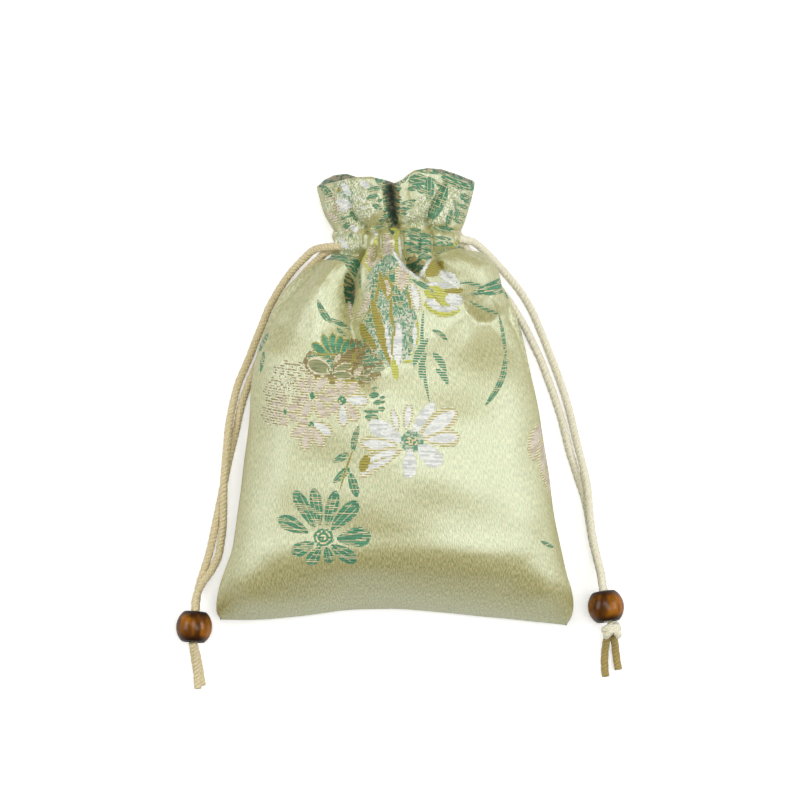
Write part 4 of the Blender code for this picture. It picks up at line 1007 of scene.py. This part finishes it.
def tag_motifs(data, name, motifs, chosen, x, y, place_on):
    """Stores the place of every corner on the motif chosen for it, with the motif's kind."""
    far = np.full(len(x), 9.0)
    p, q, kind = far.copy(), far.copy(), np.full(len(x), -1.0)
    for number, motif in enumerate(motifs):
        mine = chosen == number
        p[mine], q[mine] = place_on(motif, x[mine], y[mine])
        kind[mine] = motif[-1]
    store(data, name, "CORNER", p, q, kind)


def leaf_place(leaf, x, y):
    """Place along a leaf from -1 to 1, and across it from -1 to 1 at its edges."""
    x0, y0, x1, y1, width, bow, taper = leaf[:7]
    length = math.hypot(x1 - x0, y1 - y0)
    ux, uy = (x1 - x0) / length, (y1 - y0) / length
    dx, dy = x - 0.5 * (x0 + x1), y - 0.5 * (y0 + y1)
    p = (dx * ux + dy * uy) / (0.5 * length)
    q = (-dx * uy + dy * ux - bow * (1.0 - p * p)) / (0.5 * width)
    return p, q / (1.0 + taper * np.clip(p, -1.2, 1.2))


def heart_place(heart, x, y):
    """Place across and up a flower's heart, 1 from its centre at its edge."""
    return (x - heart[0]) / heart[2], (y - heart[1]) / heart[3]


# Beads and knots

def make_bead(name, centre, along, look, material):
    """A turned bead, spun round its bore, with a softly broken edge at each end of the hole."""
    radius, half, bore = (0.5 * size * MM for size in (look.bead_diameter, look.bead_length, look.bead_bore))
    shoulder = math.acos((bore + 0.7 * MM) / radius)
    # the broken edge: distance out from the bore and in from the end
    broken = [(bore + out * MM, half - back * MM) for out, back in ((0.0, 0.9), (0.1, 0.3), (0.4, 0.0))]
    outline = [(out, -height) for out, height in broken]
    for k in range(BEAD_ROWS + 1):
        angle = shoulder * (-1.0 + 2.0 * k / BEAD_ROWS)
        outline.append((radius * math.cos(angle), half * math.sin(angle) / math.sin(shoulder)))
    outline += broken[::-1]
    mesh = bmesh.new()
    verts = [mesh.verts.new((x, 0.0, z)) for x, z in outline]
    edges = [mesh.edges.new(pair) for pair in zip(verts, verts[1:] + verts[:1])]
    bmesh.ops.spin(mesh, geom=verts + edges, cent=(0, 0, 0), axis=(0, 0, 1), angle=FULL_TURN,
                   steps=BEAD_STEPS, use_merge=True, use_duplicate=False)
    bmesh.ops.remove_doubles(mesh, verts=mesh.verts, dist=1e-7)
    layer = mesh.verts.layers.float_vector.new("rim")
    for vert in mesh.verts:
        out = math.hypot(vert.co.x, vert.co.y)
        nearness = max(abs(vert.co.z) / half, 1.3 * (1.0 - (out - bore) / (radius - bore)))
        vert[layer] = (nearness, 0.0, 0.0)
    turn = along.to_track_quat("Z", "X").to_matrix().to_4x4()
    bmesh.ops.transform(mesh, matrix=Matrix.Translation(centre) @ turn, verts=mesh.verts)
    return finish_mesh(name, mesh, material)


def turn_points(centre, across, up, wide, high):
    """Points of one turn of a knot, in metres."""
    angles = [FULL_TURN * k / 24.0 for k in range(25)]
    return [tuple(centre + across * (0.5 * wide * math.cos(angle)) + up * (0.5 * high * math.sin(angle)))
            for angle in angles]


def knot_turns(name, centre, along, across, up):
    """The middle, two directions and two sizes in metres of each turn of a knot."""
    if name == "left":
        return ((centre - along * 0.0004, across, up, 0.0024, 0.0024),)
    return ((centre + along * 0.0003, across, (along * 0.35 + up * 0.95).normalized(), 0.0042, 0.0030),
            (centre, (across * 0.80 + along * 0.62).normalized(), up, 0.0046, 0.0034),
            (centre + across * 0.0010, (across * 0.45 - along * 0.88).normalized(), up, 0.0040, 0.0028))


def make_knot(name, centre, along, tails, look, satin, tail_satin):
    """The turns of a knot and the two cut tails below it."""
    across = along.cross(Vector((0.0, 0.0, 1.0))).normalized()
    pieces = []
    for number, turn in enumerate(knot_turns(name, centre, along, across, across.cross(along)), 1):
        pieces.append(twisted_cord("knot_{}_turn_{}".format(name, number), turn_points(*turn),
                                   look.diameter * TURN_THICKNESS[name], satin, look.lay_length, TURN_STEP,
                                   KNOT_AROUND, True)[0])
    for number, tail in enumerate(tails, 1):
        pieces.append(twisted_cord("knot_{}_tail_{}".format(name, number), in_metres(tail),
                                   look.diameter * TAIL_THICKNESS, tail_satin,
                                   look.lay_length * TAIL_TWIST, TAIL_STEP, KNOT_AROUND)[0])
    return pieces


# Settings

class PouchLook(bpy.types.PropertyGroup):
    columns: IntProperty(name="Columns", description="Mesh columns across each layer of the cloth",
                         default=176, min=40)
    cloth_thickness: FloatProperty(name="Cloth thickness", description="Thickness of the cloth in millimetres",
                                   default=1.1, min=0.3)
    layer_width: FloatProperty(name="Layer width", description="Width of one layer of the cut cloth in millimetres",
                               default=108.0, min=10.0)
    ground: FloatVectorProperty(name="Ground", description="Colour of the satin ground", subtype="COLOR",
                                default=(0.54, 0.475, 0.165), size=3)
    roughness: FloatProperty(name="Roughness", description="Roughness of the satin", default=0.42, min=0.0, max=1.0)
    shine: FloatProperty(name="Shine", description="Refractive index that sets how much the satin reflects",
                         default=3.1, min=1.0, max=4.0)
    relief: FloatProperty(name="Relief", description="Height of the weave in millimetres", default=0.24, min=0.0)


class CordLook(bpy.types.PropertyGroup):
    diameter: FloatProperty(name="Diameter", description="Diameter of the drawstring", default=0.0023,
                            subtype="DISTANCE", unit="LENGTH")
    lay_length: FloatProperty(name="Twist length", description="Length of one full turn of the twist",
                              default=0.0072, subtype="DISTANCE", unit="LENGTH")
    left: FloatVectorProperty(name="Left cord", description="Colour of the left drawstring", subtype="COLOR",
                              default=(0.97, 0.86, 0.57), size=3)
    left_shade: FloatVectorProperty(name="Left shade", description="Tint between the left drawstring's threads",
                                    subtype="COLOR", default=(0.76, 0.70, 0.56), size=3)
    right: FloatVectorProperty(name="Right cord", description="Colour of the right drawstring", subtype="COLOR",
                               default=(1.0, 0.98, 0.86), size=3)
    right_shade: FloatVectorProperty(name="Right shade", description="Tint between the right drawstring's threads",
                                     subtype="COLOR", default=(0.97, 0.92, 0.74), size=3)


class BeadLook(bpy.types.PropertyGroup):
    bead_diameter: FloatProperty(name="Diameter", description="Diameter of a bead in millimetres", default=11.2)
    bead_length: FloatProperty(name="Length", description="Length of a bead in millimetres", default=9.4)
    bead_bore: FloatProperty(name="Bore", description="Diameter of the hole in millimetres", default=5.5)
    wood_roughness: FloatProperty(name="Roughness", description="Roughness under the varnish", default=0.22,
                                  min=0.0, max=1.0)


class StudioLook(bpy.types.PropertyGroup):
    lens: FloatProperty(name="Lens", description="Focal length in millimetres", default=100.0, min=10.0)
    key_power: FloatProperty(name="Key light", description="Power of the key light in watts", default=3.75, min=0.0)
    left_power: FloatProperty(name="Left light", description="Power of the left light in watts", default=2.6, min=0.0)
    right_power: FloatProperty(name="Right light", description="Power of the right light in watts", default=3.2,
                               min=0.0)
    world: FloatProperty(name="Surround", description="Strength of the surround", default=0.135, min=0.0)


# Operators

class POUCH_OT_stage(bpy.types.Operator):
    """Makes the camera, the lights, the white floor and the surround"""
    bl_idname = "pouch.stage"
    bl_label = "Stage"

    def execute(self, context):
        scene = context.scene
        look = scene.pouch_studio
        camera = bpy.data.cameras.new("camera")
        camera.lens = look.lens
        camera.sensor_width = 36.0
        camera.clip_start = 0.01
        holder = bpy.data.objects.new("camera", camera)
        holder.location = (CAMERA_XY[0] * MM, CAMERA_XY[1] * MM, CAMERA_HEIGHT * MM)
        scene.collection.objects.link(holder)
        scene.camera = holder
        scene.view_settings.view_transform = "Standard"
        # lights narrow in y, so that slopes to the top and bottom are darker than those to the sides
        for name, power, size, place in (
                ("key_light", look.key_power, (0.90, 0.34), (0.10, 0.10, 0.80)),
                ("left_light", look.left_power, (0.60, 0.34), (-0.66, 0.10, 0.50)),
                ("right_light", look.right_power, (0.60, 0.34), (0.76, 0.10, 0.50))):
            lamp = bpy.data.lights.new(name, "AREA")
            lamp.energy = power
            lamp.shape = "RECTANGLE"
            lamp.size, lamp.size_y = size
            item = bpy.data.objects.new(name, lamp)
            item.location = place
            item.rotation_euler = (-Vector(place)).to_track_quat("-Z", "Y").to_euler()
            scene.collection.objects.link(item)
        self.make_surround(scene, look.world)
        self.make_floor()
        return {"FINISHED"}

    def make_surround(self, scene, strength):
        """White to the camera, and a dim warm light on the piece."""
        world = bpy.data.worlds.new("surround")
        world.use_nodes = True
        tree = world.node_tree
        shader = tree.nodes["Background"]
        seen = camera_ray(tree)
        tree.links.new((seen * (1.0 - strength) + strength).link, shader.inputs["Strength"])
        tree.links.new(blend(seen, (1.0, 0.95, 0.76), (1.0, 1.0, 1.0)).link, shader.inputs["Color"])
        scene.world = world

    def make_floor(self):
        """A white floor just under the piece, lit a little more to the camera."""
        mesh = bmesh.new()
        bmesh.ops.create_grid(mesh, x_segments=1, y_segments=1, size=3.0)
        bmesh.ops.translate(mesh, vec=(0.0, 0.0, -0.0002), verts=mesh.verts)
        material, tree, shader = new_material("white_floor", {
            "Base Color": (0.9, 0.9, 0.9, 1.0), "Roughness": 0.9, "Specular IOR Level": 0.1})
        glow = tree.nodes.new("ShaderNodeEmission")
        tree.links.new((camera_ray(tree) * 0.45).link, glow.inputs["Strength"])
        join_shaders(tree, "ShaderNodeAddShader", (shader.outputs[0], glow.outputs[0]))
        floor = finish_mesh("floor", mesh, material, smooth=False)


class POUCH_OT_cords(bpy.types.Operator):
    """Makes the two drawstrings, their beads and their knots with cut tails"""
    bl_idname = "pouch.cords"
    bl_label = "Drawstrings, beads and knots"

    def execute(self, context):
        look, beads = context.scene.pouch_cords, context.scene.pouch_beads
        wood = wood_material(beads)
        for name, route, bead_spot, knot_spot, tails, colour, tint in (
                ("left", LEFT_ROUTE, LEFT_BEAD, LEFT_KNOT, LEFT_TAILS, look.left, look.left_shade),
                ("right", RIGHT_ROUTE, RIGHT_BEAD, RIGHT_KNOT, RIGHT_TAILS, look.right, look.right_shade)):
            route = in_metres(route)
            shade = [a * b for a, b in zip(colour, tint)]
            satin = satin_material("satin_cord_" + name, colour, shade, 0.42)
            tail_satin = satin
            if name == "right":
                tail_satin = satin_material("satin_tail_right", (0.54, 0.42, 0.14), (0.36, 0.26, 0.07), 0.6)
            along = Vector(bead_spot[1]).normalized()
            cord, path = twisted_cord("cord_" + name, route, look.diameter, satin, look.lay_length, CORD_STEP,
                                      CORD_AROUND)
            bead = make_bead("bead_" + name + "_wood", Vector(bead_spot[0]), along, beads, wood)
            pieces = make_knot(name, Vector(knot_spot), along, tails, look, satin, tail_satin)
            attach(cord, "pouch")
            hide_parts("drawstring_" + name)
            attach(bead, "bead_" + name)
            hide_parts("bead_" + name)
            for piece in pieces:
                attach(piece, "pouch")
            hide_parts("knot_" + name)
        return {"FINISHED"}


class POUCH_OT_cloth(bpy.types.Operator):
    """Makes the gathered brocade pouch"""
    bl_idname = "pouch.cloth"
    bl_label = "Brocade pouch"

    def execute(self, context):
        look = context.scene.pouch_look
        pouch = make_pouch(look, brocade_material(look))
        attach(pouch, "pouch")
        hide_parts("pouch_shell")
        return {"FINISHED"}


class POUCH_PT_panel(bpy.types.Panel):
    bl_idname = "POUCH_PT_panel"
    bl_label = "Drawstring pouch"
    bl_space_type = "VIEW_3D"
    bl_region_type = "UI"
    bl_category = "Pouch"

    def draw(self, context):
        for group in (context.scene.pouch_studio, context.scene.pouch_cords, context.scene.pouch_beads,
                      context.scene.pouch_look):
            box = self.layout.box()
            for name in group.__annotations__:
                box.prop(group, name)
        for kind in OPERATORS:
            self.layout.operator(kind.bl_idname)


GROUPS = (("pouch_look", PouchLook), ("pouch_cords", CordLook), ("pouch_beads", BeadLook),
          ("pouch_studio", StudioLook))
OPERATORS = (POUCH_OT_stage, POUCH_OT_cords, POUCH_OT_cloth)


def register():
    for name, kind in GROUPS:
        bpy.utils.register_class(kind)
        setattr(bpy.types.Scene, name, PointerProperty(type=kind))
    for kind in OPERATORS + (POUCH_PT_panel,):
        bpy.utils.register_class(kind)


def unregister():
    for kind in (POUCH_PT_panel,) + OPERATORS[::-1]:
        bpy.utils.unregister_class(kind)
    for name, kind in GROUPS[::-1]:
        delattr(bpy.types.Scene, name)
        bpy.utils.unregister_class(kind)


def main():
    register()
    bpy.ops.pouch.stage()
    bpy.ops.pouch.cords()
    bpy.ops.pouch.cloth()


if __name__ == "__main__":
    main()
